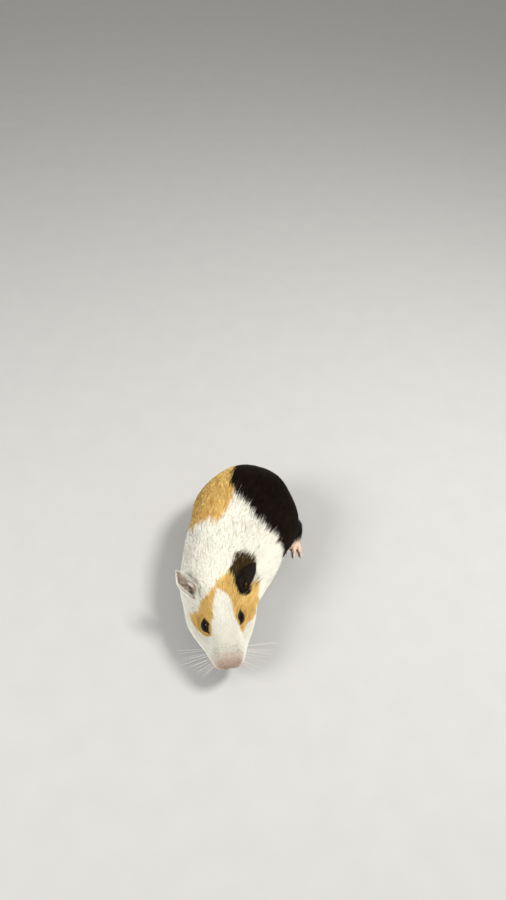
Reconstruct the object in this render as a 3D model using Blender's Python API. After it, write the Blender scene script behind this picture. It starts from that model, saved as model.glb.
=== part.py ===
"""A smooth-haired guinea pig at life size, standing low with its head turned to its left.

Metres, +Z up, the floor at Z = 0. The trunk runs along Y with the rump at +Y and the nose at -Y,
and the animal's left side is at +X. The outer surface is that of the coat, out to the tips of the
hair. The body is lofted whole through named sections, its neck is bent sideways, and thin cuts
then part it into head, neck, trunk and thighs. Ears, eyes, legs, feet and claws are set against it.
"""

import math

import bmesh
import bpy
import numpy as np
from mathutils import Matrix, Vector

# Driving dimensions
GAP = 0.0003  # left between two pieces that touch
HEAD_TURN = math.radians(27.9)  # to the animal's left
BEND_FROM = -0.0405  # where the neck starts to turn, along Y
BEND_LENGTH = 0.040
HEAD_BACK = -0.0680  # where the head ends and the neck begins
NECK_BACK = -0.0480

EYE_RADIUS = 0.0057
EYE_CENTRES = {"left": (0.0096, -0.0886, 0.0487), "right": (-0.0114, -0.0896, 0.0460)}

EAR_THICKNESS = 0.0011
EAR_CUP = 0.0026  # how far the rims stand in front of the middle of the ear
EAR_BOW = 0.0010  # how far the middle line bows towards the upper rim
EAR_TWIST = {"left": 38, "right": 32}  # degrees that the blade turns up to face the sky
TWIST_SHARES = (-0.1, 0.35)  # of the ear's length, between which it turns
EAR_HALVES = (1.0, 0.42)  # share of the outline's half width above and below the middle line
# Ears of the straight body: upper and lower end of the root, and the tip
EARS = {
    "left": ((0.0138, -0.0735, 0.0582), (0.0184, -0.0690, 0.0498), (0.0252, -0.0485, 0.0730)),
    "right": ((-0.0134, -0.0735, 0.0582), (-0.0182, -0.0695, 0.0498), (-0.0345, -0.0590, 0.0628)),
}
EAR_SHARES = (-0.12, 0, 0.15, 0.32, 0.5, 0.68, 0.84, 0.94, 1.0)  # where its rings lie
EAR_ACROSS = 9  # points across each face of a ring
# Share of the length from root to tip, and half width there
EAR_OUTLINE = ((0.0, 0.0058), (0.25, 0.0086), (0.5, 0.0094), (0.75, 0.0074), (0.92, 0.0034), (1.0, 0.0006))

THIGH_CENTRE = (0.0400, 0.0265, 0.0245)
THIGH_RADII = (0.0175, 0.0225, 0.0225)
SHANK_RADII = (0.0110, 0.0052)
UPPER_ARM_CENTRE = (0.0300, -0.0370, 0.0230)
UPPER_ARM_RADII = (0.0135, 0.0150, 0.0170)
FOREARM_RADII = (0.0080, 0.0064, 0.0038)

# Feet: place of the heel or wrist on the floor, and how far the toes turn out, in degrees
HIND_FEET = {"left": ((0.0410, 0.0422), 10.8), "right": ((-0.0335, 0.0422), 4.0)}
FORE_FEET = {"left": ((0.0165, -0.0500), 6.0), "right": ((-0.0160, -0.0490), 6.0)}
# Sections of a foot: distance forward, half width, centre height, half height
HIND_FOOT = (
    (0.0000, 0.0022, 0.0036, 0.0034),
    (0.0025, 0.0037, 0.0040, 0.0052),
    (0.0080, 0.0042, 0.0038, 0.0056),
    (0.0145, 0.0043, 0.0029, 0.0048),
    (0.0200, 0.0049, 0.0020, 0.0040),
    (0.0238, 0.0044, 0.0016, 0.0030),
    (0.0255, 0.0026, 0.0014, 0.0018),
)
FORE_FOOT = (
    (-0.0010, 0.0020, 0.0034, 0.0026),
    (0.0010, 0.0031, 0.0036, 0.0040),
    (0.0045, 0.0037, 0.0028, 0.0042),
    (0.0078, 0.0039, 0.0020, 0.0034),
    (0.0100, 0.0024, 0.0015, 0.0020),
)
# Toes: root (forward, outward), tip (forward, outward), radius
HIND_TOES = {
    "outer": ((0.0185, 0.0031), (0.0288, 0.0054), 0.0019),
    "middle": ((0.0195, 0.0000), (0.0300, 0.0002), 0.0020),
    "inner": ((0.0180, -0.0031), (0.0264, -0.0047), 0.0018),
}
FORE_TOES = {
    "outer": ((0.0062, 0.0027), (0.0118, 0.0050), 0.0013),
    "third": ((0.0070, 0.0010), (0.0138, 0.0019), 0.0014),
    "second": ((0.0070, -0.0010), (0.0138, -0.0015), 0.0014),
    "inner": ((0.0060, -0.0027), (0.0114, -0.0045), 0.0013),
}
HIND_CLAW = 0.0044
FORE_CLAW = 0.0030
CLAW_DROP = 0.0009  # a claw's tip below its root
CLAW_AHEAD = 1.12  # where a claw starts ahead of its toe's end, in toe radii
CLAW_SHARES = (0, 0.4, 0.75)  # of the claw's length, with the radii below in toe radii
CLAW_TAPER = (0.50, 0.34, 0.14)
TOE_TAPER = (1.05, 1.00, 0.85)
TOE_ARCH = 0.45  # how far a toe's middle stands up, in toe radii
FOOT_AROUND = 12

# Ends of the leg bones, as shares of the place of the thigh, the upper arm and the wrist
KNEE = (0.90, 0.80)  # of the thigh's distance from the middle, and of its height
HOCK_AHEAD = 0.005  # of the heel
HOCK_HEIGHT = 0.0085
SHOULDER = (0.85, 0.75)
SHOULDER_AHEAD = 0.002
ELBOW_SIDE = (0.35, 0.60)  # of the upper arm's distance from the middle, and of the wrist's
ELBOW_HEIGHT = 0.0125
WRIST_AHEAD = 0.002
WRIST_HEIGHT = 0.0070

# Sections of the straight body, from the nose to the rump:
# (centre along Y, centre height, pitch in degrees, half width, rise, drop, narrowing of the top)
SECTIONS = {
    "nose_tip": (-0.1163, 0.0245, 30, 0.0000, 0.0000, 0.0000, 0.05),
    "nose": (-0.1152, 0.0252, 30, 0.0079, 0.0084, 0.0096, 0.08),
    "lips": (-0.1112, 0.0272, 31, 0.0118, 0.0119, 0.0137, 0.14),
    "muzzle": (-0.1040, 0.0306, 33, 0.0168, 0.0158, 0.0175, 0.27),
    "eyes": (-0.0936, 0.0352, 33, 0.0232, 0.0203, 0.0205, 0.41),
    "cheeks": (-0.0832, 0.0390, 26, 0.0274, 0.0231, 0.0249, 0.43),
    "ears": (-0.0729, 0.0422, 17, 0.0297, 0.0247, 0.0296, 0.35),
    "nape": (-0.0615, 0.0438, 9, 0.0334, 0.0266, 0.0320, 0.23),
    "shoulders": (-0.0416, 0.0455, 0, 0.0363, 0.0315, 0.0355, 0.12),
    "ribs": (-0.0189, 0.0448, 0, 0.0424, 0.0372, 0.0370, 0.08),
    "belly": (0.0076, 0.0445, 0, 0.0453, 0.0392, 0.0380, 0.08),
    "haunches": (0.0259, 0.0435, 0, 0.0412, 0.0382, 0.0365, 0.09),
    "hips": (0.0416, 0.0415, 0, 0.0332, 0.0325, 0.0325, 0.09),
    "rump": (0.0534, 0.0385, 0, 0.0239, 0.0215, 0.0230, 0.06),
    "tail_end": (0.0605, 0.0370, 0, 0.0000, 0.0000, 0.0000, 0.06),
}
NOSE_LENGTH = 0.006  # of the end of the nose, where rings lie closer
RUMP_LENGTH = 0.014
RUMP_SHARE = 0.87  # of the way back to the last trunk ring, where the first rump ring lies
HEAD_RING_STEP = 0.0031
TRUNK_RING_STEP = 0.0056
AROUND = 32
ROUNDNESS = 2.15  # superellipse power of a section, 2 being an ellipse
CAP = math.radians(55)  # latitude of the one ring that rounds the end of a limb
NARROWING = (-0.4, 0.5)  # from where to where on the way up a section narrows, -1 to 1

# Swells and hollows of the straight body: centre (x on the left side), reach, height out
SWELLS = {
    "cheek": ((0.0240, -0.0820, 0.0300), (0.0090, 0.0110, 0.0110), 0.0022),
    "whisker_pad": ((0.0085, -0.1105, 0.0215), (0.0050, 0.0055, 0.0050), 0.0014),
    "brow": ((0.0115, -0.0885, 0.0535), (0.0040, 0.0070, 0.0040), 0.0010),
    "eye_hollow": ((0.0165, -0.0930, 0.0435), (0.0050, 0.0065, 0.0055), -0.0012),
    "shoulder": ((0.0350, -0.0420, 0.0330), (0.0130, 0.0150, 0.0170), 0.0020),
    "flank": ((0.0430, -0.0060, 0.0420), (0.0150, 0.0110, 0.0180), -0.0015),
    "haunch": ((0.0430, 0.0270, 0.0330), (0.0160, 0.0190, 0.0190), 0.0040),
    "thigh": ((0.0350, 0.0270, 0.0140), (0.0125, 0.0190, 0.0110), 0.0085),
    "elbow": ((0.0270, -0.0400, 0.0160), (0.0110, 0.0140, 0.0100), 0.0030),
}


def monotone_cubic(x, y, at):
    """Values of a smooth curve through (x, y) that never overshoots between its points."""
    step = np.diff(x)
    slope = np.diff(y) / step
    tangent = np.zeros_like(y)
    same_way = slope[1:] * slope[:-1] > 0
    both = slope[1:] + slope[:-1]
    tangent[1:-1][same_way] = (2 * slope[1:] * slope[:-1])[same_way] / both[same_way]
    tangent[0], tangent[-1] = slope[0], slope[-1]
    i = np.clip(np.searchsorted(x, at) - 1, 0, len(step) - 1)
    t = (at - x[i]) / step[i]
    h = step[i]
    return (
        (1 + 2 * t) * (1 - t) ** 2 * y[i]
        + t * (1 - t) ** 2 * h * tangent[i]
        + t * t * (3 - 2 * t) * y[i + 1]
        + t * t * (t - 1) * h * tangent[i + 1]
    )


def body_rings():
    """Rings of points round the straight body, from the nose to the rump."""
    table = np.array(list(SECTIONS.values()))
    along = np.concatenate([[0], np.cumsum(np.hypot(*np.diff(table[:, :2], axis=0).T))])
    head_end = along[list(SECTIONS).index("nape")]
    ease = 1 - np.cos(np.linspace(0, math.pi / 2, 6))
    nose = NOSE_LENGTH * ease[1:]
    head = np.arange(nose[-1] + HEAD_RING_STEP, head_end, HEAD_RING_STEP)
    trunk = np.arange(head[-1] + TRUNK_RING_STEP, along[-1] - RUMP_LENGTH, TRUNK_RING_STEP)
    rump = along[-1] - (along[-1] - trunk[-1]) * RUMP_SHARE * ease[1:-1][::-1]
    stations = np.concatenate([nose, head, trunk, rump])
    y, z, pitch, narrow = (monotone_cubic(along, table[:, i], stations) for i in (0, 1, 2, 6))
    half, rise, drop = (
        np.sqrt(np.maximum(monotone_cubic(along, table[:, i] ** 2, stations), 1e-10))
        for i in (3, 4, 5)
    )
    turn = 2 * math.pi * (np.arange(AROUND) + 0.5) / AROUND
    side = np.sign(np.sin(turn)) * np.abs(np.sin(turn)) ** (2 / ROUNDNESS)
    up = np.sign(np.cos(turn)) * np.abs(np.cos(turn)) ** (2 / ROUNDNESS)
    tilt = np.radians(pitch)[:, None]
    reach = np.where(up > 0, rise[:, None], drop[:, None]) * up
    share = np.clip((up - NARROWING[0]) / (NARROWING[1] - NARROWING[0]), 0, 1)
    slim = 1 - narrow[:, None] * share**2 * (3 - 2 * share)
    return np.stack(
        [
            half[:, None] * side * slim,
            y[:, None] - np.sin(tilt) * reach,
            z[:, None] + np.cos(tilt) * reach,
        ],
        axis=2,
    )


def swell(points, normals):
    """Moves points of the straight body out or in by SWELLS, alike on both sides."""
    moved = points.copy()
    for centre, reach, height in SWELLS.values():
        for mirror in (1, -1):
            away = (points - np.array(centre) * (mirror, 1, 1)) / reach
            share = np.exp(-0.5 * (away**2).sum(1))
            moved += normals * (share * height)[:, None]
    return moved


def bend(points):
    """Turns what lies ahead of BEND_FROM sideways, along an arc and then a straight line."""
    points = np.atleast_2d(np.asarray(points, float))
    ahead = np.maximum(BEND_FROM - points[:, 1], 0)
    within = np.minimum(ahead, BEND_LENGTH)
    angle = HEAD_TURN * within / BEND_LENGTH
    radius = BEND_LENGTH / HEAD_TURN
    straight = ahead - within
    spine_x = radius * (1 - np.cos(angle)) + straight * np.sin(angle)
    spine_y = BEND_FROM - radius * np.sin(angle) - straight * np.cos(angle)
    behind = ahead == 0
    x = spine_x + points[:, 0] * np.cos(angle)
    y = np.where(behind, points[:, 1], spine_y + points[:, 0] * np.sin(angle))
    return np.stack([x, y, points[:, 2]], axis=1)


def new_object(name, bm, material=None):
    """A smooth-shaded object from a bmesh, which it frees."""
    bmesh.ops.recalc_face_normals(bm, faces=bm.faces)
    mesh = bpy.data.meshes.new(name)
    bm.to_mesh(mesh)
    bm.free()
    mesh.shade_smooth()
    if material:
        mesh.materials.append(material)
    obj = bpy.data.objects.new(name, mesh)
    bpy.context.scene.collection.objects.link(obj)
    return obj


def loft(rings):
    """A closed bmesh skinned through rings of equal numbers of points, with capped ends."""
    bm = bmesh.new()
    loops = [[bm.verts.new(p) for p in ring] for ring in rings]
    count = len(loops[0])
    for near, far in zip(loops, loops[1:]):
        for i in range(count):
            j = (i + 1) % count
            bm.faces.new((near[i], near[j], far[j], far[i]))
    bm.faces.new(loops[0])
    bm.faces.new(loops[-1])
    bmesh.ops.recalc_face_normals(bm, faces=bm.faces)
    return bm


def limb(points, radii, around):
    """A bmesh of a tapered tube with round ends through points."""
    points = [Vector(p) for p in points]
    ways = [(b - a).normalized() for a, b in zip(points, points[1:])]
    ways = [ways[0], *((a + b).normalized() for a, b in zip(ways, ways[1:])), ways[-1]]
    stations = list(zip(points, ways, radii))
    first, last = (
        (place + way * (sign * radius * math.sin(CAP)), way, radius * math.cos(CAP))
        for (place, way, radius), sign in ((stations[0], -1), (stations[-1], 1))
    )
    stations = [first, *stations, last]
    rings = []
    for place, way, radius in stations:
        across = way.cross(Vector((0.1, 0.2, 1))).normalized()
        upward = across.cross(way)
        rings.append(
            [
                place + across * (radius * math.cos(turn)) + upward * (radius * math.sin(turn))
                for turn in (2 * math.pi * i / around for i in range(around))
            ]
        )
    return loft(rings)


def ellipsoid(centre, radii, segments=16, rings=10):
    """A bmesh of an ellipsoid."""
    bm = bmesh.new()
    bmesh.ops.create_uvsphere(bm, u_segments=segments, v_segments=rings, radius=1)
    bmesh.ops.scale(bm, vec=radii, verts=bm.verts)
    bmesh.ops.translate(bm, vec=centre, verts=bm.verts)
    return bm


def grown(piece, amount):
    """A bmesh of a piece, thicker all round, with the piece's own place applied."""
    bm = bmesh.new()
    bm.from_mesh(piece.data)
    bm.transform(piece.matrix_world)
    bm.normal_update()
    for vert, normal in [(v, v.normal.copy()) for v in bm.verts]:
        vert.co += normal * amount
    return bm


def carve(piece, tool, operation="DIFFERENCE"):
    """Cuts a bmesh out of a piece, joins it on, or keeps what they share."""
    cutter = new_object("cutter", tool)
    modifier = piece.modifiers.new("carve", "BOOLEAN")
    modifier.object = cutter
    modifier.operation = operation
    graph = bpy.context.evaluated_depsgraph_get()
    before = piece.data
    carved = bpy.data.meshes.new_from_object(piece.evaluated_get(graph))
    piece.modifiers.clear()
    piece.data = carved
    bpy.data.meshes.remove(before)
    carved.name = piece.name
    bpy.data.objects.remove(cutter, do_unlink=True)


def cut_off(bm, place, way):
    """Removes what lies past a plane, on the side that way points to, and closes the cut."""
    everything = bm.verts[:] + bm.edges[:] + bm.faces[:]
    cut = bmesh.ops.bisect_plane(
        bm, geom=everything, dist=1e-7, plane_co=place, plane_no=way, clear_outer=True
    )
    rim = [e for e in cut["geom_cut"] if isinstance(e, bmesh.types.BMEdge)]
    bmesh.ops.contextual_create(bm, geom=rim)


def paint(name, colour, roughness):
    """A plain Principled material."""
    material = bpy.data.materials.new(name)
    material.use_nodes = True
    shader = material.node_tree.nodes["Principled BSDF"]
    shader.inputs["Base Color"].default_value = (*colour, 1)
    shader.inputs["Roughness"].default_value = roughness
    shader.inputs["Metallic"].default_value = 0
    return material


def clear_scene():
    for obj in list(bpy.data.objects):
        bpy.data.objects.remove(obj, do_unlink=True)


def straight_body():
    """Head, neck, trunk and haunches as one closed form, before the neck is bent."""
    rings = body_rings()
    bm = loft(rings)
    bm.normal_update()
    normals = np.array([v.normal for v in bm.verts])
    for vert, place in zip(bm.verts, swell(rings.reshape(-1, 3), normals)):
        vert.co = place
    return bm


def bent_length(body, front=None, back=None):
    """A copy of the straight body between two cuts across it, bent to its pose."""
    bm = body.copy()
    if front is not None:
        cut_off(bm, (0, front + GAP / 2, 0), (0, -1, 0))
    if back is not None:
        cut_off(bm, (0, back - GAP / 2, 0), (0, 1, 0))
    for vert in bm.verts:
        vert.co = bend(vert.co)[0]
    return bm


def ease_in(value, start, end):
    """How far a value has come from start to end, 0 to 1, with a smooth start and end."""
    share = min(max((value - start) / (end - start), 0), 1)
    return share * share * (3 - 2 * share)


def ear(side, material):
    """A cupped petal on the side of the head, its blade turned up towards the sky."""
    upper, lower, tip = (Vector(p) for p in EARS[side])
    root = (upper + lower) / 2
    length = tip - root
    across = (lower - upper) - length * ((lower - upper).dot(length) / length.length_squared)
    across.normalize()
    facing = across.cross(length).normalized()
    if side == "right":
        facing.negate()
    shares, halves = zip(*EAR_OUTLINE)
    upper_half, lower_half = EAR_HALVES
    columns = np.linspace(-1, 1, EAR_ACROSS)
    front, rear = [], []
    for share in EAR_SHARES:
        half = float(monotone_cubic(np.array(shares), np.array(halves), max(share, 0)))
        cup = EAR_CUP * min(1, half / max(halves))
        twist = math.radians(EAR_TWIST[side]) * ease_in(share, *TWIST_SHARES)
        wide = across * math.cos(twist) + facing * math.sin(twist)
        front_way = facing * math.cos(twist) - across * math.sin(twist)
        middle = root + length * share - wide * (EAR_BOW * math.sin(math.pi * max(share, 0)))
        sheet = [
            middle
            + wide * (half * v * (upper_half if v < 0 else lower_half))
            + front_way * (cup * v * v)
            for v in columns
        ]
        front.append(sheet)
        rear.append([p - front_way * EAR_THICKNESS for p in sheet])
    rings = [near + far[::-1] for near, far in zip(front, rear)]
    bm = loft(rings)
    for vert in bm.verts:
        vert.co = bend(vert.co)[0]
    return new_object(f"ear_{side}", bm, material)


def foot(name, sections, toes, claw_length, place, turn_out, mirror, skin, horn):
    """A foot flat on the floor with its toes, and its claws as pieces of their own."""
    rings = []
    for forward, half, height, rise in sections:
        rings.append(
            [
                (half * math.cos(turn), -forward, height + rise * math.sin(turn))
                for turn in (2 * math.pi * i / FOOT_AROUND for i in range(FOOT_AROUND))
            ]
        )
    piece = new_object(name, loft(rings), skin)
    claws = []
    for toe, (root, tip, radius) in toes.items():
        start = Vector((root[1] * mirror, -root[0], radius * 1.15))
        end = Vector((tip[1] * mirror, -tip[0] + radius, radius * 0.75))
        knuckle = (start + end) / 2 + Vector((0, 0, radius * TOE_ARCH))
        toe_radii = [radius * share for share in TOE_TAPER]
        carve(piece, limb((start, knuckle, end), toe_radii, 8), "UNION")
        way = (end - start).normalized()
        way.z = 0
        first = end + way * (radius * CLAW_AHEAD + GAP)
        first.z = radius * 0.95
        points = [
            first + way * (claw_length * share) - Vector((0, 0, CLAW_DROP * share**2))
            for share in CLAW_SHARES
        ]
        horn_radii = [radius * share for share in CLAW_TAPER]
        claws.append(new_object(f"claw_{name}_{toe}", limb(points, horn_radii, 6), horn))
    bm = bmesh.new()
    bm.from_mesh(piece.data)
    cut_off(bm, (0, 0, 0), (0, 0, -1))
    bm.to_mesh(piece.data)
    bm.free()
    turned = Matrix.Rotation(math.radians(turn_out) * mirror, 4, "Z")
    piece.matrix_world = Matrix.Translation((*place, 0)) @ turned
    for claw in claws:
        claw.parent = piece
    bpy.context.view_layer.update()
    return piece


def leg(name, body, thigh, bones, radii, its_foot, neighbours, material):
    """The part of the body that belongs to a leg, down to its foot, cut free of its neighbours."""
    centre, reach = thigh
    piece = new_object(name, bent_length(body), material)
    carve(piece, ellipsoid(centre, reach), "INTERSECT")
    carve(piece, limb(bones, radii, 10), "UNION")
    carve(piece, grown(its_foot, GAP))
    for neighbour in neighbours:
        carve(neighbour, ellipsoid(centre, [r + GAP for r in reach]))
        carve(neighbour, limb(bones, [r + GAP for r in radii], 10))
    return piece


def centre_on_origin():
    """Moves the whole animal so that the middle of its footprint's box is at the origin."""
    bpy.context.view_layer.update()
    pieces = list(bpy.data.objects)
    points = np.array([p.matrix_world @ v.co for p in pieces for v in p.data.vertices])
    middle = (points.min(axis=0) + points.max(axis=0)) / 2
    animal = bpy.data.objects.new("animal", None)
    bpy.context.scene.collection.objects.link(animal)
    animal.location = (-middle[0], -middle[1], 0)
    for piece in pieces:
        if not piece.parent:
            piece.parent = animal


def main():
    clear_scene()
    white = paint("white_coat", (0.86, 0.83, 0.76), 0.6)
    black = paint("black_coat", (0.02, 0.017, 0.015), 0.5)
    tan = paint("tan_coat", (0.62, 0.36, 0.12), 0.6)
    pink = paint("pink_skin", (0.75, 0.45, 0.38), 0.5)
    horn = paint("horn", (0.72, 0.60, 0.48), 0.35)
    glass = paint("eye", (0.01, 0.008, 0.008), 0.05)

    body = straight_body()
    head = new_object("head", bent_length(body, back=HEAD_BACK), white)
    neck = new_object("neck", bent_length(body, front=HEAD_BACK, back=NECK_BACK), white)
    trunk = new_object("trunk", bent_length(body, front=NECK_BACK), white)

    for side, mirror in (("left", 1), ("right", -1)):
        heel, turn_out = HIND_FEET[side]
        hind = foot(
            f"hindfoot_{side}", HIND_FOOT, HIND_TOES, HIND_CLAW, heel, turn_out, mirror, pink, horn
        )
        wrist, turn_out = FORE_FEET[side]
        fore = foot(
            f"forefoot_{side}", FORE_FOOT, FORE_TOES, FORE_CLAW, wrist, turn_out, mirror, pink, horn
        )
        x, y, z = THIGH_CENTRE
        leg(
            f"hindleg_{side}",
            body,
            ((x * mirror, y, z), THIGH_RADII),
            (
                (x * KNEE[0] * mirror, y, z * KNEE[1]),
                (heel[0], heel[1] - HOCK_AHEAD, HOCK_HEIGHT),
            ),
            SHANK_RADII,
            hind,
            (trunk,),
            black if side == "left" else tan,
        )
        x, y, z = UPPER_ARM_CENTRE
        leg(
            f"foreleg_{side}",
            body,
            ((x * mirror, y, z), UPPER_ARM_RADII),
            (
                (x * SHOULDER[0] * mirror, y - SHOULDER_AHEAD, z * SHOULDER[1]),
                (
                    x * ELBOW_SIDE[0] * mirror + wrist[0] * ELBOW_SIDE[1],
                    (y + wrist[1]) / 2,
                    ELBOW_HEIGHT,
                ),
                (wrist[0], wrist[1] - WRIST_AHEAD, WRIST_HEIGHT),
            ),
            FOREARM_RADII,
            fore,
            (trunk, neck),
            white,
        )

        eye_place = bend(EYE_CENTRES[side])[0]
        carve(head, ellipsoid(eye_place, (EYE_RADIUS + GAP,) * 3))
        new_object(f"eye_{side}", ellipsoid(eye_place, (EYE_RADIUS,) * 3), glass)

        pinna = ear(side, black if side == "left" else pink)
        for piece in (head, neck):
            carve(pinna, grown(piece, GAP))
    body.free()
    centre_on_origin()


main()
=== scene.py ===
"""The looks of a still, life-size guinea pig: a skin, a coat of solid tufts, eyes, claws and whiskers.

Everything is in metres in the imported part's own frame: +Z up, the floor at Z = 0, the rump at +Y
and the animal's left side at +X. Places that follow the body are named on a straight body, whose
spine lies along Y, and are bent sideways at the neck as the solids are.
"""

import math

import bmesh
import bpy
import numpy as np
from mathutils import Matrix, Vector
from mathutils.bvhtree import BVHTree
from mathutils.kdtree import KDTree


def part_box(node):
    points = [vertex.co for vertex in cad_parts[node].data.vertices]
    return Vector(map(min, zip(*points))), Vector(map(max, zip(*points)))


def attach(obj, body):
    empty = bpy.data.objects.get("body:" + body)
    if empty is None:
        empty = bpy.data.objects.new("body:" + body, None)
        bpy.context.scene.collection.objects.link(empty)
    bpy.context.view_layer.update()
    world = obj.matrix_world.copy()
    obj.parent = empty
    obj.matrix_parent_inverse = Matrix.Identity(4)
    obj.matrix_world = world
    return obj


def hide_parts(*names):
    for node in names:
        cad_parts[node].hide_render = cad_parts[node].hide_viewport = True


# The straight body: its origin in the part's frame, and the sideways bend of its neck
STRAIGHT_ORIGIN = np.array((-0.00363, 0.02748, 0.0))
HEAD_TURN = math.radians(27.9)
BEND_FROM = -0.0405
BEND_LENGTH = 0.040
BEND_RADIUS = BEND_LENGTH / HEAD_TURN
AXIS_HEIGHT = 0.043  # of the line that angles round the body are measured from
SIDES = {"left": 1, "right": -1}

# Skin
FLESH = (
    "head",
    "neck",
    "trunk",
    *(f"{limb}_{side}" for limb in ("hindleg", "foreleg", "hindfoot", "forefoot") for side in SIDES),
)
SEAM_FILL = 0.00025  # grown on each flesh solid, so that the thin cuts between them close
SOCKET_FILL = 0.0002  # the closed eye's skin outside the eyeball
SKIN_VOXEL = 0.0006
SKIN_TRIANGLES = 150000
SMOOTHING = (("even_all", "", 6), ("even_coated", "coated", 45))  # name, vertex group, rounds
WEIGHT_STEPS = 16
FINE_HEAD = (-0.070, -0.090)  # between these places along the body, small faces begin to be kept
FINE_SHARE = 0.97  # how fully they are kept on the head and feet
FINE_MUZZLE = -0.1060  # ahead of here the skin's mesh is twice as fine
FINE_EYE = 0.0020  # as it is this near to an eyeball
LEG_TOP = 0.018  # above this height the body's coat begins
FOOT_TOP = 0.009
UNDERSIDE = (100, 150)  # degrees from the top, where the coat thins towards the belly

# Depth of the skin below the tips of the coat, along the straight body, and the length of a tuft
COAT = (
    # place along Y, depth, length
    (-0.1165, 0.0001, 0.0010),
    (-0.1120, 0.0004, 0.0018),
    (-0.1040, 0.0008, 0.0028),
    (-0.0900, 0.0012, 0.0046),
    (-0.0780, 0.0017, 0.0068),
    (-0.0640, 0.0026, 0.0110),
    (-0.0400, 0.0034, 0.0160),
    (-0.0100, 0.0038, 0.0200),
    (0.0400, 0.0038, 0.0200),
    (0.0610, 0.0034, 0.0160),
)

# Colours
WHITE_HAIR = (0.945, 0.935, 0.84)
BLUSHED_HAIR = (0.70, 0.50, 0.40)
TAN_HAIR = (0.80, 0.53, 0.165)
LIGHT_TAN_HAIR = (0.96, 0.80, 0.34)
DARK_TAN_HAIR = (0.55, 0.315, 0.085)
BLACK_HAIR = (0.004, 0.0025, 0.0015)
BROWN_HAIR = (0.022, 0.012, 0.006)
PINK_SKIN = (0.70, 0.46, 0.35)
PALE_SKIN = (0.77, 0.62, 0.48)
DARK_SKIN = (0.022, 0.015, 0.012)
LID_BROWN = (0.016, 0.010, 0.007)
PUPIL = (0.002, 0.002, 0.002)
IRIS_DARK = (0.005, 0.0025, 0.0015)
IRIS_LIGHT = (0.014, 0.0065, 0.0035)
EYE_EDGE = (0.008, 0.006, 0.005)
CLAW_ROOT = (0.62, 0.42, 0.34)
CLAW_TIP = (0.80, 0.72, 0.58)
CLAW_DARK = (0.25, 0.18, 0.14)
WHISKER_DULL = (0.86, 0.84, 0.78)
WHISKER_PALE = (0.95, 0.94, 0.90)
FLOOR_DULL = (0.37, 0.37, 0.37)
FLOOR_PALE = (0.40, 0.40, 0.395)

# How far the skin shows through the muzzle's and the feet's white hair, and how dark the line where the
# lips meet is painted, as shade in its crease
MUZZLE_BLUSH = 0.72
BLUSH_EDGE = (-0.1092, -0.1172)  # along the body, where the muzzle's blush begins and is full
FRECKLED = 0.135  # share of dark hairs on the muzzle
FRECKLE_EDGE = (-0.1035, -0.1085)
FOOT_BLUSH = 0.8
FOOT_BLUSH_TOP = (0.011, 0.005)
BARE_FOOT = (0.0090, 0.0040)  # heights between which a foot turns from haired to bare
SOLE = 165  # degrees from the top, past which the belly's skin stays haired
# Painted shade in the crease where the lips meet
LIP_LINE_SHADE = 0.45

# Ears of the straight body: upper and lower end of the root, and the tip
EARS = {
    "left": ((0.0138, -0.0735, 0.0582), (0.0184, -0.0690, 0.0498), (0.0252, -0.0485, 0.0730)),
    "right": ((-0.0134, -0.0735, 0.0582), (-0.0182, -0.0695, 0.0498), (-0.0345, -0.0590, 0.0628)),
}
EAR_OUTLINE = (
    # share of the length, half width
    (0.0, 0.0058),
    (0.25, 0.0086),
    (0.5, 0.0094),
    (0.75, 0.0074),
    (0.92, 0.0034),
    (1.0, 0.0008),
)
EAR_THICKNESS = 0.0007
EAR_CUP = 0.0026
EAR_BOW = 0.0010
EAR_FOLD = 0.0005  # depth of the creases along the blade
EAR_HOLLOW = 0.0010  # depth of the hollow near the root
RIM_CURL = 0.35  # more cup at the very rim
EAR_TWIST = {"left": 38, "right": 32}  # degrees that the blade turns up to face the sky
TWIST_SHARES = (-0.1, 0.35)  # of the ear's length, between which it turns
EAR_HALVES = (1.0, 0.42)  # share of the outline's half width above and below the middle line
EAR_REACH = 0.0009  # of a place from the middle of the blade, to count as on it
EAR_ROOT = -0.30  # where the sheet starts inside the head, as a share of the ear's length
EAR_GRID = (26, 40)
EAR_NOTCH = {"left": 0.20, "right": 0.10}  # of the upper half's width
NOTCH_PLACE = (0.62, 0.07)  # its middle and width, as shares of the ear's length
OUTER_EAR_BARE = 0.25  # how much skin shows through the white hair on the back of the right ear
RIGHT_EAR_DARK = 0.72  # how much dark skin shows through on the pale ear
EAR_MOTTLE = 0.16

# Eyes: the opening's reach forward, back, up and down from its middle, and its outline's power
EYE_OPENING = (0.0052, 0.0056, 0.0040, 0.0034)
OPENING_POWER = 1.7
EYE_OUTWARD = (0.86, -0.24, 0.46)  # the left eye's, on the straight body
EYE_FORWARD = (-0.30, -0.88, -0.36)
EYE_SURROUND = 0.0035  # past the eyeball, how far places count as round that eye
EYE_HOLLOW = 0.0016  # of the skin under the eyeball, behind the opening
EYE_RING = 0.42  # share of dark hairs just outside the bare lid
EYE_RING_EDGE = (0.36, 0.04)  # how far outside it they end, as the opening is measured
BARE_LID = 1.34  # where the hair begins round the eye, as a multiple of the opening
LID_BLUR = 0.06
TEAR_DUCT = (0.0066, -0.0005, 0.0024, 0.0011)  # its middle forward and up, and its reach
LID_THICKNESS = 0.0003
LID_FOLD = (1.12, 0.16)  # where a low fold follows the opening, and its width
LID_FOLD_HEIGHT = 0.0003
LID_STEPS = 17  # of each rim along the opening
LID_RIM = 0.00042
LID_SIDES = 8
LID_CORNERS = (0.0030, 0.0046)  # from the eye's middle, where a rim takes the corner's colour
CORNEA_BULGE = 0.00035
CORNEA_EDGE = 0.55  # cosine of the angle from the axis where the bulge starts
CORNEA_SPAN = 0.45  # from there to the axis, in that cosine

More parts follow.
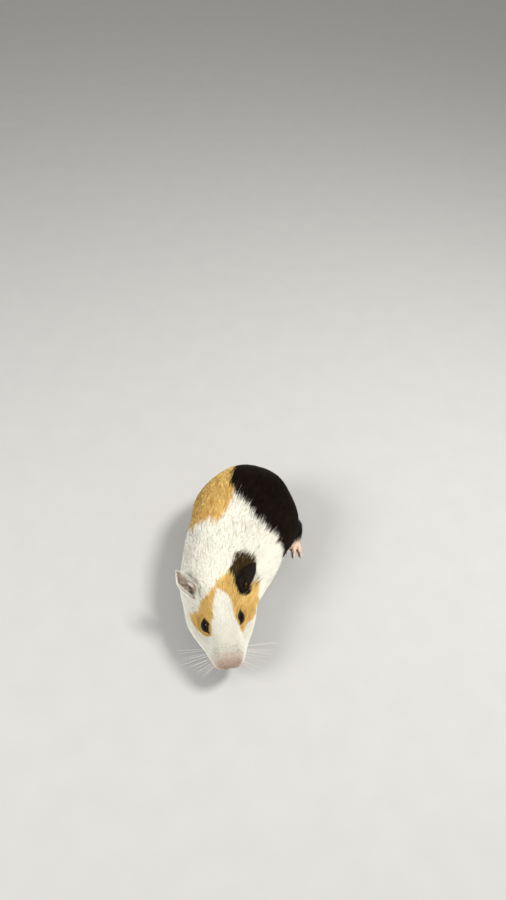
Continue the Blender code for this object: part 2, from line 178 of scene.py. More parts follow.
# Nose and mouth of the straight body: (place, reach, depth) of each nostril's two hollows
NOSTRILS = (
    ((0.0020, -0.1158, 0.0264), (0.0008, 0.0018, 0.0005), 0.0021),
    ((0.0030, -0.1150, 0.0272), (0.0005, 0.0018, 0.0007), 0.0015),
)
NOSE_HEIGHT = 0.0265  # of the point that the face's hair grows away from
NOSE_LEATHER = (0.0270, 0.0044, 0.0038)  # the bare skin's height, half width and half height
NOSE_FRONT = (-0.1118, -0.1132)  # it lies ahead of here
CLEFT = 0.00035  # half width of the groove from the nose to the lip
CLEFT_DEPTH = 0.0007
CLEFT_TOP = (0.0262, 0.0245)
CLEFT_FRONT = (-0.1080, -0.1120)
CLEFT_FOOT = (0.0150, 0.0170)
MOUTH = (0.0186, 0.0072, 0.0026)  # height at the middle, half width, and how far its corners drop
MOUTH_BACK = (-0.1030, -0.1050)  # its corners lie behind here
LIP_HALF = 0.00055
LIP_DEPTH = 0.0012

# Claws
CLAW_STEPS = 8
CLAW_SIDES = 10
CLAW_SUNK = -0.18  # share of the claw's length that its root reaches into the toe

# Whiskers, their rows' ends along the straight body, and their height
WHISKER_ROWS = (5, 6, 6, 4)
WHISKER_FRONT = -0.1110
WHISKER_BACK = -0.1010
WHISKER_TOP = 0.0285
WHISKER_ROW_STEP = 0.0027
WHISKER_SLOPE = 0.0008  # from the front of a row to its back
WHISKER_STRAY = (0.0006, 0.0005)  # of a root from its row, along the body and up
WHISKER_LENGTH = 0.030
WHISKER_SHARES = (0.42, 0.53)  # of it in front, and how much more at the back
WHISKER_FAN = (-32, 38)  # degrees back of sideways in front, and how much more at the back
LEFT_FAN = 10  # degrees that the left ones point further ahead
WHISKER_LIFT = (0.06, 0.11)  # rise of the top row, and how much less with each row
WHISKER_RADIUS = 0.000085
WHISKER_STEPS = 9
WHISKER_SIDES = 4
WHISKER_SUNK = 0.0006
PAD_HALF = 0.004  # half the width of the muzzle between the two pads
PAD_OUT = 0.04  # from where a whisker's line towards the muzzle starts
PORE = 0.0007  # reach of the dot at a whisker's root
PORE_DARK = 0.4
BROW_COUNT = 2
BROW_ROOT = (0.0105, -0.0840, 0.0520)
BROW_STEP = 0.0030
BROW_WHISKER = 0.011
BROW_RADIUS = 0.00005

# Locks of hair: place along the straight body, width, and how many grow on a square metre
LOCKS = (
    (-0.1165, 0.00016, 9.0e6),
    (-0.1060, 0.00019, 7.5e6),
    (-0.0960, 0.00022, 6.0e6),
    (-0.0800, 0.00025, 4.5e6),
    (-0.0640, 0.00029, 3.3e6),
    (-0.0450, 0.00035, 2.5e6),
    (-0.0100, 0.00038, 2.1e6),
    (0.0610, 0.00040, 2.1e6),
)
# Locks of the legs, feet, ears and lids: how many on a square metre, length, width and height
LEG_HAIR = (2.4e6, 0.0046, 0.00030)
FOOT_HAIR = (2.0e6, 0.0014, 0.00016)
EYE_HAIR = (9.0e6, 0.0013, 0.00014, 0.00022)
EAR_HAIR = (5.0e6, 0.0021, 0.00014, 0.00030)
EAR_FRINGE = (0.0, 0.0026, 0.0, 0.0011)  # more of each at the ear's rim
BARE_EAR_HAIR = (0.9e6, 5.0e6)  # how many inside the pale ear, and how many more at its rim
LEG_LIFT = (0.0010, 0.00040, 0.00012)  # height on the fore legs, the hind legs and the feet
LOCK_FLATNESS = 0.7
LOCK_RINGS = {
    # share of the length at each ring, and the width there
    "long": ((0.0, 0.36, 0.70, 1.0), (0.75, 1.0, 0.72, 0.0)),
    "short": ((0.0, 0.55, 1.0), (0.85, 0.85, 0.0)),
}
LONG_LOCK = 0.0065  # a longer lock has one ring more
ROOT_DEPTH = 0.00025
FLOOR_GAP = 0.00008  # between the floor and the lowest hair
STRAY = math.radians(5)  # of a lock from the lie of the coat
SWING = math.radians(6)  # of the lie itself, in broad waves
CLUMP = (0.18, 0.0007, 0.0030)  # share of the length between clumps, and its limits
CLUMP_PULL = 0.35
CLUMP_TONE = 0.18
SLOPE_DOWN = (0.10, 0.25, 0.9)  # of the coat everywhere, more on the sides, and on the rump
LEG_SLANT = (0.35, -0.60)  # backwards on the hind legs, and forwards on the fore legs
FOOT_LIE = (0.0, -1.0, -0.3)
MUZZLE_SPREAD = 1.1
EYE_PARTING = (1.5, 0.0030)  # how firmly hair turns away from an eye, and its reach
BANDS = (
    # coat piece, where it ends along the straight body
    ("coat_muzzle", -0.100),
    ("coat_brow", -0.086),
    ("coat_cheeks", -0.066),
    ("coat_nape", -0.045),
    ("coat_shoulders", -0.022),
    ("coat_ribs", 0.002),
    ("coat_loin", 0.026),
    ("coat_haunches", 0.048),
    ("coat_rump", 1.0),
)
COAT_PIECES = (*(name for name, _ in BANDS), "coat_hindlegs", "coat_forelegs", "coat_ears")
LONG_PIECES = COAT_PIECES[3:9]  # from the nape to the rump
LEGS_MIDDLE = -0.010  # between the fore and the hind legs
END_CHARTS = {
    # height of the middle, and how far behind the piece the rays that unwrap it start
    "coat_muzzle": (NOSE_HEIGHT, 0.02),
    "coat_rump": (AXIS_HEIGHT, -0.02),
}
BAKE_PATCH = 0.003
BAKE_EDGE = 0.01

# Markings of the straight body in mm and degrees round it, where the tips of the hair show them
MM_PER_DEGREE = 0.45
BODY_LAG = 11.0
HEAD_LAG = 2.0
UNDERFUR_LAG = 0.6  # share of the lag for what shows between the hairs
EDGE_RIPPLE = 1.2
PATCH_RIPPLE = 1.5
TAN_FRONT = (
    # angle to the right of the spine, place along the body
    (11, 6.5), (12, 1.7), (13, -5.2), (15, -12.0), (17, -19.7), (21, -22.9),
    (30, -20.6), (44, -21.9), (54, -24.1), (71, -21.6), (120, -17.0),
)
BLACK_FRONT = (
    # angle to the left of the spine, place along the body
    (-11, 6.5), (-6, 0.4), (0, -3.4), (9, -4.2), (17, -8.2), (25, -12.8), (34, -12.4),
    (43, -11.9), (52, -12.9), (60, -15.4), (76, -14.0), (87, -13.4), (125, -6.0),
)
PARTING = ((6.5, -7.9), (11.0, -10.3), (17.0, -13.0), (24.0, -16.0), (38.0, -19.0), (60.0, -19.0))
BELLY_EDGE = (132, 118)  # degrees, above which the hindquarters are coloured
LEGS_OUTSIDE = (21, 26)
RUMP_FROM = (34, 40)
HIND_FROM = -40
ANKLE = (6.0, 9.5)  # between these heights the leg's colour ends
NAPE_PATCH = (
    (14, -42), (14, -45), (13, -53), (16, -60), (22, -69), (31, -74.5), (46, -73), (50, -62),
    (49, -50), (47, -40), (38, -37), (26, -38.5),
)
NAPE_END = -0.025  # the patch on the neck lies ahead of here
BROWNED = 0.14  # most that tan shows through its dark hairs, away from the ear
TICKED = ((50, -63), (50, -50), (60, -47), (76, -50), (78, -60), (66, -62))
TICKED_SHARE = 0.42
HEAD_TAN = (
    # angle round the body, place along it
    (13, -62.8), (56, -64.6), (67, -59.4), (80, -60.4), (93, -66.0), (109, -72.0), (107, -83.0),
    (108, -93.0), (103, -97.7), (78, -98.3), (-78, -98.3), (-107, -95.0), (-106, -89.0),
    (-102, -83.7), (-94, -76.6), (-75, -80.0), (-61, -79.4), (-49, -77.6), (-29, -76.3),
    (-15, -73.7), (0, -67.9),
)
# The white blaze: place along the body, distance of its edge from the middle
BLAZE_RIGHT = (
    (-98.4, -9.3), (-95.7, -8.9), (-92.4, -7.6), (-87.5, -6.9), (-83.2, -5.6), (-80.2, -3.9),
    (-75.6, -2.5), (-72.5, -1.8),
)
BLAZE_LEFT = (
    (-98.4, 9.0), (-95.0, 7.9), (-91.1, 6.3), (-86.4, 5.7), (-81.5, 4.9), (-78.8, 2.6),
    (-75.8, -0.6), (-72.5, -1.5),
)
BLAZE_APEX = -75.5
BLAZE_LOW = 36  # its lowest height

# The lights: where each stands, its width, power and colour
LIGHTS = {
    "window": ((0.42, 0.17, 0.86), 0.22, 10.0, (1.0, 0.97, 0.92)),
    "fill": ((-0.6, -0.5, 0.8), 0.5, 9.0, (1.0, 0.985, 0.96)),
}
LIGHTS_AIM = (0, 0, 0.03)
STUDIO_LIGHT = (1.0, 0.985, 0.955, 1)
STUDIO_STRENGTH = 0.56

# The camera: where it stands, which way it looks, and its image's rightward way
CAMERA_PLACE = (0.0726, -0.2528, 0.4965)
CAMERA_VIEW = (-0.15352, 0.61846, -0.77067)
CAMERA_RIGHT = (0.95776, 0.28505, 0.03796)
CAMERA_LENS = 25.31
CAMERA_SENSOR = 36.0
CAMERA_NEAR = 0.01
FLOOR_REACH = 3.0


# ---------------------------------------------------------------- the body's own measure


def bend(points):
    """Points of the straight body, placed in the part's frame."""
    points = np.atleast_2d(np.asarray(points, float))
    ahead = np.maximum(BEND_FROM - points[:, 1], 0)
    within = np.minimum(ahead, BEND_LENGTH)
    angle = HEAD_TURN * within / BEND_LENGTH
    straight = ahead - within
    spine_x = BEND_RADIUS * (1 - np.cos(angle)) + straight * np.sin(angle)
    spine_y = BEND_FROM - BEND_RADIUS * np.sin(angle) - straight * np.cos(angle)
    x = spine_x + points[:, 0] * np.cos(angle)
    y = np.where(ahead == 0, points[:, 1], spine_y + points[:, 0] * np.sin(angle))
    return np.stack([x, y, points[:, 2]], axis=1) + STRAIGHT_ORIGIN


def turn_at(points):
    """The neck's turn at points of the part's frame, and those points on the straight body."""
    points = np.atleast_2d(np.asarray(points, float)) - STRAIGHT_ORIGIN
    angle = np.arctan2(BEND_FROM - points[:, 1], BEND_RADIUS - points[:, 0])
    angle = np.clip(angle, 0, HEAD_TURN)
    away_x = points[:, 0] - BEND_RADIUS * (1 - np.cos(angle))
    away_y = points[:, 1] - BEND_FROM + BEND_RADIUS * np.sin(angle)
    ahead = away_x * np.sin(angle) - away_y * np.cos(angle)
    x = away_x * np.cos(angle) + away_y * np.sin(angle)
    y = BEND_FROM - BEND_LENGTH * angle / HEAD_TURN - ahead
    return angle, np.stack([x, y, points[:, 2]], axis=1)


def straighten(points):
    return turn_at(points)[1]


def round_body(straight):
    """Angle round the straight body in degrees: 0 on top, 90 at the left, -90 at the right."""
    return np.degrees(np.arctan2(straight[:, 0], straight[:, 2] - AXIS_HEIGHT))


def smooth_step(low, high, value):
    """0 at low and 1 at high, with a smooth rise or fall between."""
    share = np.clip((value - low) / (high - low), 0, 1)
    return share * share * (3 - 2 * share)


def soft_edge(half, value):
    """0 below an edge at 0 and 1 above it, blurred by half each way."""
    return smooth_step(-half, half, value)


def bell(value, middle, width):
    return np.exp(-(((value - middle) / width) ** 2))


def along_table(table, column, at):
    rows = np.array(table, float)
    return np.interp(at, rows[:, 0], rows[:, column])


def mixed(before, after, share):
    """The first value where share is 0, the second where it is 1."""
    return before * (1 - share) + share * after


def waves(points, length, seed, count=7):
    """A smooth wavy value about -1 to 1 over space, whose swells are about length apart."""
    rng = np.random.default_rng(seed)
    ways = rng.normal(size=(count, 3))
    ways /= np.linalg.norm(ways, axis=1)[:, None]
    pace = 2 * math.pi / (length * rng.uniform(0.7, 1.5, count))
    start = rng.uniform(0, 2 * math.pi, count)
    return np.sin(points @ (ways * pace[:, None]).T + start).sum(1) / math.sqrt(count)


def unit(vectors):
    return vectors / np.maximum(np.linalg.norm(vectors, axis=-1, keepdims=True), 1e-12)


# ---------------------------------------------------------------- meshes


def add_object(name, mesh):
    obj = bpy.data.objects.new(name, mesh)
    bpy.context.scene.collection.objects.link(obj)
    return obj


def coordinates(mesh):
    flat = np.empty(len(mesh.vertices) * 3, np.float32)
    mesh.vertices.foreach_get("co", flat)
    return flat.reshape(-1, 3).astype(float)


def normals_of(mesh):
    flat = np.empty(len(mesh.vertices) * 3, np.float32)
    mesh.vertex_normals.foreach_get("vector", flat)
    return flat.reshape(-1, 3).astype(float)


def place_vertices(mesh, points):
    mesh.vertices.foreach_set("co", points.astype(np.float32).ravel())
    mesh.update()


def triangles_of(mesh):
    mesh.calc_loop_triangles()
    flat = np.empty(len(mesh.loop_triangles) * 3, np.int32)
    mesh.loop_triangles.foreach_get("vertices", flat)
    return flat.reshape(-1, 3)


def tree_of(places, numbers):
    """A search tree of places, each with its number."""
    tree = KDTree(len(numbers))
    for place, number in zip(places, numbers):
        tree.insert(Vector(place), number)
    tree.balance()
    return tree


def applied(obj):
    """Replaces an object's mesh with the one its modifiers make."""
    graph = bpy.context.evaluated_depsgraph_get()
    mesh = bpy.data.meshes.new_from_object(obj.evaluated_get(graph))
    before = obj.data
    obj.modifiers.clear()
    obj.data = mesh
    bpy.data.meshes.remove(before)
    return mesh


def drop(obj):
    bpy.data.objects.remove(obj, do_unlink=True)


def set_weights(obj, name, weights):
    group = obj.vertex_groups.new(name=name)
    steps = np.round(np.clip(weights, 0, 1) * WEIGHT_STEPS).astype(int)
    for step in range(1, WEIGHT_STEPS + 1):
        members = np.nonzero(steps == step)[0]
        if len(members):
            group.add(members.tolist(), step / WEIGHT_STEPS, "REPLACE")


def finish_piece(obj):
    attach(obj, "root")


def coat_with(obj, material):
    """Gives every face of a piece one material."""
    obj.data.materials.clear()
    obj.data.materials.append(material)
    obj.data.polygons.foreach_set("material_index", np.zeros(len(obj.data.polygons), np.int32))


# ---------------------------------------------------------------- regions of the body


def coat_depth(points):
    """How far the skin lies inside the solids: nothing on the feet, ears and nose."""
    straight = straighten(points)
    depth = along_table(COAT, 1, straight[:, 1])
    under = smooth_step(*UNDERSIDE, np.abs(round_body(straight)))
    depth *= 1 - 0.5 * under
    return depth * smooth_step(FOOT_TOP, LEG_TOP, points[:, 2])


def eye_frames():
    """Each eye's centre, radius and axes: forward along the face, up over the lid, and outwards."""
    cos, sin = math.cos(HEAD_TURN), math.sin(HEAD_TURN)
    to_part = np.array(((cos, -sin, 0), (sin, cos, 0), (0, 0, 1)))
    eyes = {}
    for side, mirror in SIDES.items():
        low, high = (np.array(corner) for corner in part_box(f"eye_{side}"))
        outward = unit(to_part @ (np.array(EYE_OUTWARD) * (mirror, 1, 1)))
        forward = to_part @ (np.array(EYE_FORWARD) * (mirror, 1, 1))
        forward = unit(forward - outward * (forward @ outward))
        upward = np.cross(forward, outward) * mirror
        radius = float((high - low).max() / 2)
        eyes[side] = ((low + high) / 2, radius, forward, upward, outward)
    return eyes


# ---------------------------------------------------------------- skin


def ear_sheet(side, across, share):
    """Places on the middle sheet of an ear, in the part's frame, and the way that its cup faces."""
    upper, lower, tip = (np.array(place) for place in EARS[side])
    root = (upper + lower) / 2
    length = tip - root
    wide = (lower - upper) - length * ((lower - upper) @ length / (length @ length))
    wide /= np.linalg.norm(wide)
    facing = np.cross(wide, length) * SIDES[side]
    facing /= np.linalg.norm(facing)
    twist = math.radians(EAR_TWIST[side]) * smooth_step(*TWIST_SHARES, share)[:, None]
    wide, facing = (
        wide * np.cos(twist) + facing * np.sin(twist),
        facing * np.cos(twist) - wide * np.sin(twist),
    )
    half = along_table(EAR_OUTLINE, 1, np.clip(share, 0, 1))
    widest = max(width for _, width in EAR_OUTLINE)
    cup = EAR_CUP * np.minimum(1, half / widest)
    curl = cup * (across**2 + RIM_CURL * smooth_step(0.75, 1.0, np.abs(across)))
    fold = EAR_FOLD * np.sin(9 * share + 2.0) * np.abs(across)
    hollow = -EAR_HOLLOW * np.exp(-(((share - 0.25) / 0.2) ** 2 + (across / 0.4) ** 2))
    notch = 1 - EAR_NOTCH[side] * bell(share, *NOTCH_PLACE) * (across < 0)
    reach = half * across * notch * np.where(across < 0, *EAR_HALVES)
    bow = EAR_BOW * np.sin(math.pi * np.clip(share, 0, 1))
    place = root + share[:, None] * length + (reach - bow)[:, None] * wide
    place += (curl + fold + hollow)[:, None] * facing
    return bend(place), unit(bend(place + facing * 1e-3) - bend(place))


def make_ear(side):
    """A thin cupped petal with a rounded rim, its root inside the head."""
    bm = bmesh.new()
    bmesh.ops.create_grid(bm, x_segments=EAR_GRID[0], y_segments=EAR_GRID[1], size=1)
    grid = np.array([v.co[:2] for v in bm.verts])
    share = EAR_ROOT + (grid[:, 1] + 1) / 2 * (1 - EAR_ROOT)
    places, facing = ear_sheet(side, grid[:, 0], share)
    for vert, place in zip(bm.verts, places - facing * EAR_THICKNESS / 2):
        vert.co = place
    bmesh.ops.solidify(bm, geom=bm.faces[:], thickness=EAR_THICKNESS)
    if bm.calc_volume(signed=True) < 0:
        bmesh.ops.reverse_faces(bm, faces=bm.faces)
    mesh = bpy.data.meshes.new(f"ear_{side}_skin")
    bm.to_mesh(mesh)
    bm.free()
    return add_object(mesh.name, mesh)


def closed_flesh(frame, eyes):
    """Every flesh solid but the ears, grown until the cuts between them close, with eyes filled in."""
    whole = bmesh.new()
    for name in FLESH:
        piece = bmesh.new()
        piece.from_mesh(frame["nodes"][name].data)
        bmesh.ops.remove_doubles(piece, verts=piece.verts, dist=1e-6)
        bmesh.ops.recalc_face_normals(piece, faces=piece.faces)
        piece.normal_update()
        for vert, normal in [(v, v.normal.copy()) for v in piece.verts]:
            vert.co += normal * SEAM_FILL
        mesh = bpy.data.meshes.new("piece")
        piece.to_mesh(mesh)
        piece.free()
        whole.from_mesh(mesh)
        bpy.data.meshes.remove(mesh)
    for centre, radius, *_ in eyes.values():
        place = Matrix.Translation(centre)
        reach = radius + SOCKET_FILL
        bmesh.ops.create_uvsphere(whole, u_segments=32, v_segments=24, radius=reach, matrix=place)
    mesh = bpy.data.meshes.new("skin")
    whole.to_mesh(mesh)
    whole.free()
    return add_object("skin", mesh)


def almond(along, upward):
    """How far a place on the eyeball lies from the opening's middle, 1 being the edge of the lids."""
    reach = np.where(along > 0, EYE_OPENING[0], EYE_OPENING[1])
    height = np.where(upward > 0, EYE_OPENING[2], EYE_OPENING[3])
    return np.abs(upward) / height + (np.abs(along) / reach) ** OPENING_POWER


def in_eye(points, eye):
    """Distance from an eye's centre, its opening measure, and how far outwards, for many points."""
    centre, _, forward, upward, outward = eye
    away = points - centre
    opening = almond(away @ forward, away @ upward)
    return np.linalg.norm(away, axis=1), opening, away @ outward


def bare_lid(points, eye):
    """How far places lie on the dark bare skin round an eye and at its front corner, 0 to 1."""
    centre, radius, forward, upward, _ = eye
    distance, opening, out = in_eye(points, eye)
    along, up = (points - centre) @ forward, (points - centre) @ upward
    duct = np.hypot((along - TEAR_DUCT[0]) / TEAR_DUCT[2], (up - TEAR_DUCT[1]) / TEAR_DUCT[3])
    near = (out > 0) & (distance < radius + EYE_SURROUND)
    lid = smooth_step(BARE_LID + LID_BLUR, BARE_LID - LID_BLUR, opening)
    return near * np.maximum(lid, smooth_step(1.15, 0.85, duct))


def close_lids(points, eyes):
    """Lays the skin over each eyeball outside the opening, and under it inside."""
    for eye in eyes.values():
        centre, radius, *_ = eye
        distance, opening, out = in_eye(points, eye)
        near = (distance < radius + 0.004) & (out > -0.001)
        lid = radius + LID_THICKNESS
        wanted = np.where(opening < 1, radius - EYE_HOLLOW, np.maximum(distance, lid))
        rim = bell(opening, *LID_FOLD) * (opening > 1)
        wanted = np.maximum(wanted, (lid + LID_FOLD_HEIGHT * rim) * (opening > 1))
        moved = centre + (points - centre) * (wanted / np.maximum(distance, 1e-9))[:, None]
        points[near] = moved[near]
    return points


def lip_line(straight):
    """How near places are to the line where the lips meet, 0 to 1."""
    x, y, z = straight.T
    height = MOUTH[0] - MOUTH[2] * (x / MOUTH[1]) ** 2
    within = smooth_step(MOUTH[1], MOUTH[1] * 0.8, np.abs(x)) * smooth_step(*MOUTH_BACK, y)
    return within * bell(z, height, LIP_HALF)


def nose_leather(straight):
    """How bare the end of the nose is, 0 to 1, with the cleft down to the lip."""
    height, half_width, half_height = NOSE_LEATHER
    x, y, z = straight.T
    blunt = np.hypot(x / half_width, (z - height) / half_height)
    bare = smooth_step(1.45, 0.70, blunt)
    groove = smooth_step(0.0011, 0.0004, np.abs(x)) * smooth_step(MOUTH[0] - 0.0005, MOUTH[0], z)
    bare = np.maximum(bare, groove * (z < height))
    return bare * smooth_step(*NOSE_FRONT, y)


def nostril(straight):
    """How deep inside a nostril places are, 0 to 1, which darkens their skin as painted shade."""
    side = np.stack([np.abs(straight[:, 0]), straight[:, 1], straight[:, 2]], 1)
    inside = [np.exp(-((((side - place) / reach) ** 2).sum(1))) for place, reach, _ in NOSTRILS]
    return np.maximum.reduce(inside)


def carve_face(points, normals):
    """Nostrils, the cleft below them and the mouth, pressed into the skin."""
    straight = straighten(points)
    across, y, z = straight[:, 0], straight[:, 1], straight[:, 2]
    side = np.abs(across)
    depth = np.zeros(len(points))
    for place, reach, hole in NOSTRILS:
        away = (np.stack([side, y, z], 1) - place) / reach
        depth += hole * np.exp(-0.5 * (away**2).sum(1))
    cleft = bell(across, 0, CLEFT) * smooth_step(*CLEFT_TOP, z)
    depth += CLEFT_DEPTH * cleft * smooth_step(*CLEFT_FRONT, y) * smooth_step(*CLEFT_FOOT, z)
    depth += LIP_DEPTH * lip_line(straight)
    return points - normals * depth[:, None]


def thin_faces(skin):
    """Fewer faces on the skin, most of them gone from the body and few from the head and feet."""
    mesh = skin.data
    points = coordinates(mesh)
    head = smooth_step(*FINE_HEAD, straighten(points)[:, 1])
    keep = head + smooth_step(LEG_TOP, FOOT_TOP, points[:, 2])
    skin.vertex_groups.clear()
    set_weights(skin, "plain", 1 - np.clip(keep, 0, FINE_SHARE))
    thin = skin.modifiers.new("fewer_faces", "DECIMATE")
    thin.ratio = min(1, SKIN_TRIANGLES / len(triangles_of(mesh)))
    thin.vertex_group = "plain"
    applied(skin)
    skin.vertex_groups.clear()


def refine_face(mesh, eyes):
    """Smaller faces on the muzzle and round the eyes, where the finest forms are."""
    bm = bmesh.new()
    bm.from_mesh(mesh)
    fine = []
    for edge in bm.edges:
        middle = (edge.verts[0].co + edge.verts[1].co) / 2
        close = straighten(middle)[0][1] < FINE_MUZZLE
        for centre, radius, *_ in eyes.values():
            close = close or (middle - Vector(centre)).length < radius + FINE_EYE
        if close:
            fine.append(edge)
    bmesh.ops.subdivide_edges(bm, edges=fine, cuts=1, use_grid_fill=True)
    bmesh.ops.triangulate(bm, faces=bm.faces[:])
    bm.to_mesh(mesh)
    bm.free()
    mesh.shade_smooth()


def make_skin(frame, eyes):
    """One skin for all the flesh, inside the solids by the depth of the coat."""
    skin = closed_flesh(frame, eyes)
    remesh = skin.modifiers.new("one_surface", "REMESH")
    remesh.mode = "VOXEL"
    remesh.voxel_size = SKIN_VOXEL
    applied(skin)
    coated = smooth_step(FOOT_TOP * 0.7, LEG_TOP, coordinates(skin.data)[:, 2])
    set_weights(skin, "coated", coated)
    for name, group, rounds in SMOOTHING:
        even = skin.modifiers.new(name, "SMOOTH")
        even.factor = 0.5
        even.iterations = rounds
        even.vertex_group = group
    mesh = applied(skin)
    points = coordinates(mesh)
    points -= normals_of(mesh) * (coat_depth(points) + SEAM_FILL)[:, None]
    place_vertices(mesh, points)
    thin_faces(skin)
    mesh = skin.data
    refine_face(mesh, eyes)
    points = close_lids(coordinates(mesh), eyes)
    place_vertices(mesh, points)
    place_vertices(mesh, carve_face(points, normals_of(mesh)))
    return skin


def add_ears(skin):
    """Joins each ear's shell to the head, in one closed surface."""
    for side in SIDES:
        ear = make_ear(side)
        union = skin.modifiers.new("ear", "BOOLEAN")
        union.operation = "UNION"
        union.solver = "MANIFOLD"
        union.object = ear
        applied(skin)
        drop(ear)
    skin.data.shade_smooth()


def ear_root(straight):
    """Distance of places of the straight body to the nearer ear's root."""
    nearest = np.full(len(straight), 1.0)
    for upper, lower, _ in EARS.values():
        upper, lower = np.array(upper), np.array(lower)
        along = (straight - upper) @ (lower - upper) / ((lower - upper) @ (lower - upper))
        foot = upper + np.clip(along, -0.1, 0.65)[:, None] * (lower - upper)
        nearest = np.minimum(nearest, np.linalg.norm(straight - foot, axis=1))
    return nearest


def ear_cover(points):
    """For many places: how far along an ear they lie (0 off it), whether inside, how near a rim."""
    share, inner, rim = np.zeros((3, len(points)))
    across, along = np.meshgrid(np.linspace(-1, 1, 65), np.linspace(0.02, 1, 121))
    across, along = across.ravel(), along.ravel()
    for side in SIDES:
        sheet, facing = ear_sheet(side, across, along)
        low, high = sheet.min(0) - EAR_REACH, sheet.max(0) + EAR_REACH
        near = np.nonzero(((points > low) & (points < high)).all(1))[0]
        tree = tree_of(sheet, range(len(sheet)))
        for index in near:
            _, closest, distance = tree.find(Vector(points[index]))
            if distance < EAR_REACH:
                share[index] = along[closest]
                off = (points[index] - sheet[closest]) @ facing[closest]
                inner[index] = off > -EAR_THICKNESS / 2
                rim[index] = max(abs(across[closest]), smooth_step(0.8, 1.0, along[closest]))
    return share, inner, rim


# ---------------------------------------------------------------- markings


def inside_outline(outline, x, y):
    """Signed distance of many places to an outline's edge, positive inside."""
    corners = np.array(outline, float)
    ends = np.roll(corners, -1, axis=0)
    nearest = np.full(len(x), 1e9)
    crossings = np.zeros(len(x), int)
    for (ax, ay), (bx, by) in zip(corners, ends):
        share = ((x - ax) * (bx - ax) + (y - ay) * (by - ay)) / ((bx - ax) ** 2 + (by - ay) ** 2)
        share = np.clip(share, 0, 1)
        away_x, away_y = x - ax - share * (bx - ax), y - ay - share * (by - ay)
        nearest = np.minimum(nearest, np.hypot(away_x, away_y))
        slope = (bx - ax) / (by - ay) if by != ay else 0
        crossings += ((ay > y) != (by > y)) & (x < ax + (y - ay) * slope)
    return np.where(crossings % 2 == 1, nearest, -nearest)


def patch(outline, angle, y):
    """How far inside a patch places lie, in mm, from its corners' angles and places along Y."""
    corners = [(corner_angle * MM_PER_DEGREE, corner_y) for corner_angle, corner_y in outline]
    return inside_outline(corners, angle * MM_PER_DEGREE, y)


def markings(points, ahead):
    """How black and how tan the coat is, 0 to 1, where hair is rooted at these places.

    The tables name the edges where the hair's tips show them. Roots lie ahead of their tips, so
    ahead is 1 for roots, and less for what shows between the hairs.
    """
    straight = straighten(points)
    x, y, z = straight.T * 1e3
    angle = round_body(straight)
    ripple = waves(points, 0.010, 11) + 0.6 * waves(points, 0.004, 12)
    body_y = y + BODY_LAG * ahead
    head_y = y + HEAD_LAG * ahead

    # Hindquarters: tan on the right, black on the left, parted along the back
    tan_front = along_table(TAN_FRONT, 1, -angle) + EDGE_RIPPLE * ripple
    black_front = along_table(BLACK_FRONT, 1, angle) + EDGE_RIPPLE * ripple
    left_of_parting = soft_edge(0.9, x - along_table(PARTING, 1, body_y) + 0.8 * ripple)
    above_belly = smooth_step(*BELLY_EDGE, np.abs(angle) + 3 * ripple)
    outside_legs = smooth_step(*LEGS_OUTSIDE, np.abs(x) + ripple)
    rump = smooth_step(*RUMP_FROM, y + 2 * ripple)
    hind = np.maximum.reduce([above_belly, outside_legs, rump])
    hind *= (y > HIND_FROM) * smooth_step(*ANKLE, z + 0.5 * ripple)
    tan = soft_edge(1.0, body_y - tan_front) * (1 - left_of_parting) * hind
    black = soft_edge(1.0, body_y - black_front) * left_of_parting * hind

    # Neck: a dark patch behind the left ear
    behind = head_y + (BODY_LAG - HEAD_LAG) * ahead * smooth_step(-74, -52, y)
    nape = patch(NAPE_PATCH, angle + PATCH_RIPPLE * ripple, behind)
    black = np.maximum(black, smooth_step(-1.4, 1.0, nape + 0.5 * ripple))

    # Head: tan over the crown and both cheeks, parted by the white blaze
    crown = patch(HEAD_TAN, angle + PATCH_RIPPLE * ripple, head_y + 0.5 * ripple)
    tan = np.maximum(tan, soft_edge(0.9, crown))
    right, left = along_table(BLAZE_RIGHT, 1, y), along_table(BLAZE_LEFT, 1, y)
    blaze = soft_edge(0.8, np.minimum(x - right, left - x) + 0.35 * ripple)
    tan *= 1 - blaze * (z > BLAZE_LOW) * smooth_step(BLAZE_APEX + 1.0, BLAZE_APEX - 1.0, y)

    # Dark hairs scattered in the white behind the left cheek
    ticked = patch(TICKED, angle + 2 * ripple, behind)
    black = np.maximum(black, TICKED_SHARE * smooth_step(-1.5, 1.0, ticked))

    # Whisker pads: a brown dot at each whisker's root, and a few dark hairs between them
    away = [np.hypot(*(straight[:, 1:] - root).T) for _, _, *root in whisker_grid()]
    pores = smooth_step(PORE, 0.5 * PORE, np.minimum.reduce(away)) * (np.abs(straight[:, 0]) > PAD_HALF)
    black = np.maximum(black, PORE_DARK * pores)
    black = np.maximum(black, FRECKLED * smooth_step(*FRECKLE_EDGE, straight[:, 1]))

    # Ears: black hair on the left one and at its root, white hair on the right one
    ear = smooth_step(0.02, 0.10, ear_cover(points)[0])
    rooted = np.maximum(ear, smooth_step(0.0048, 0.0036, ear_root(straight)))
    black = np.where(x > 0, np.maximum(black, rooted), black * (1 - ear))
    tan *= 1 - ear
    return np.clip(black, 0, 1), np.clip(np.minimum(tan, 1 - black), 0, 1)


def blush(straight):
    """How far pink skin shows through thin white hair on the muzzle and the feet, 0 to 1."""
    tip = straight[:, 1] + 0.0006 * waves(straight, 0.004, 14)
    muzzle = MUZZLE_BLUSH * smooth_step(*BLUSH_EDGE, tip)
    return np.maximum(muzzle, FOOT_BLUSH * smooth_step(*FOOT_BLUSH_TOP, straight[:, 2]))


def float_layer(mesh, name, values):
    """Writes one number per point, which a finish reads by the same name."""
    layer = mesh.attributes.new(name, "FLOAT", "POINT")
    layer.data.foreach_set("value", values.astype(np.float32))


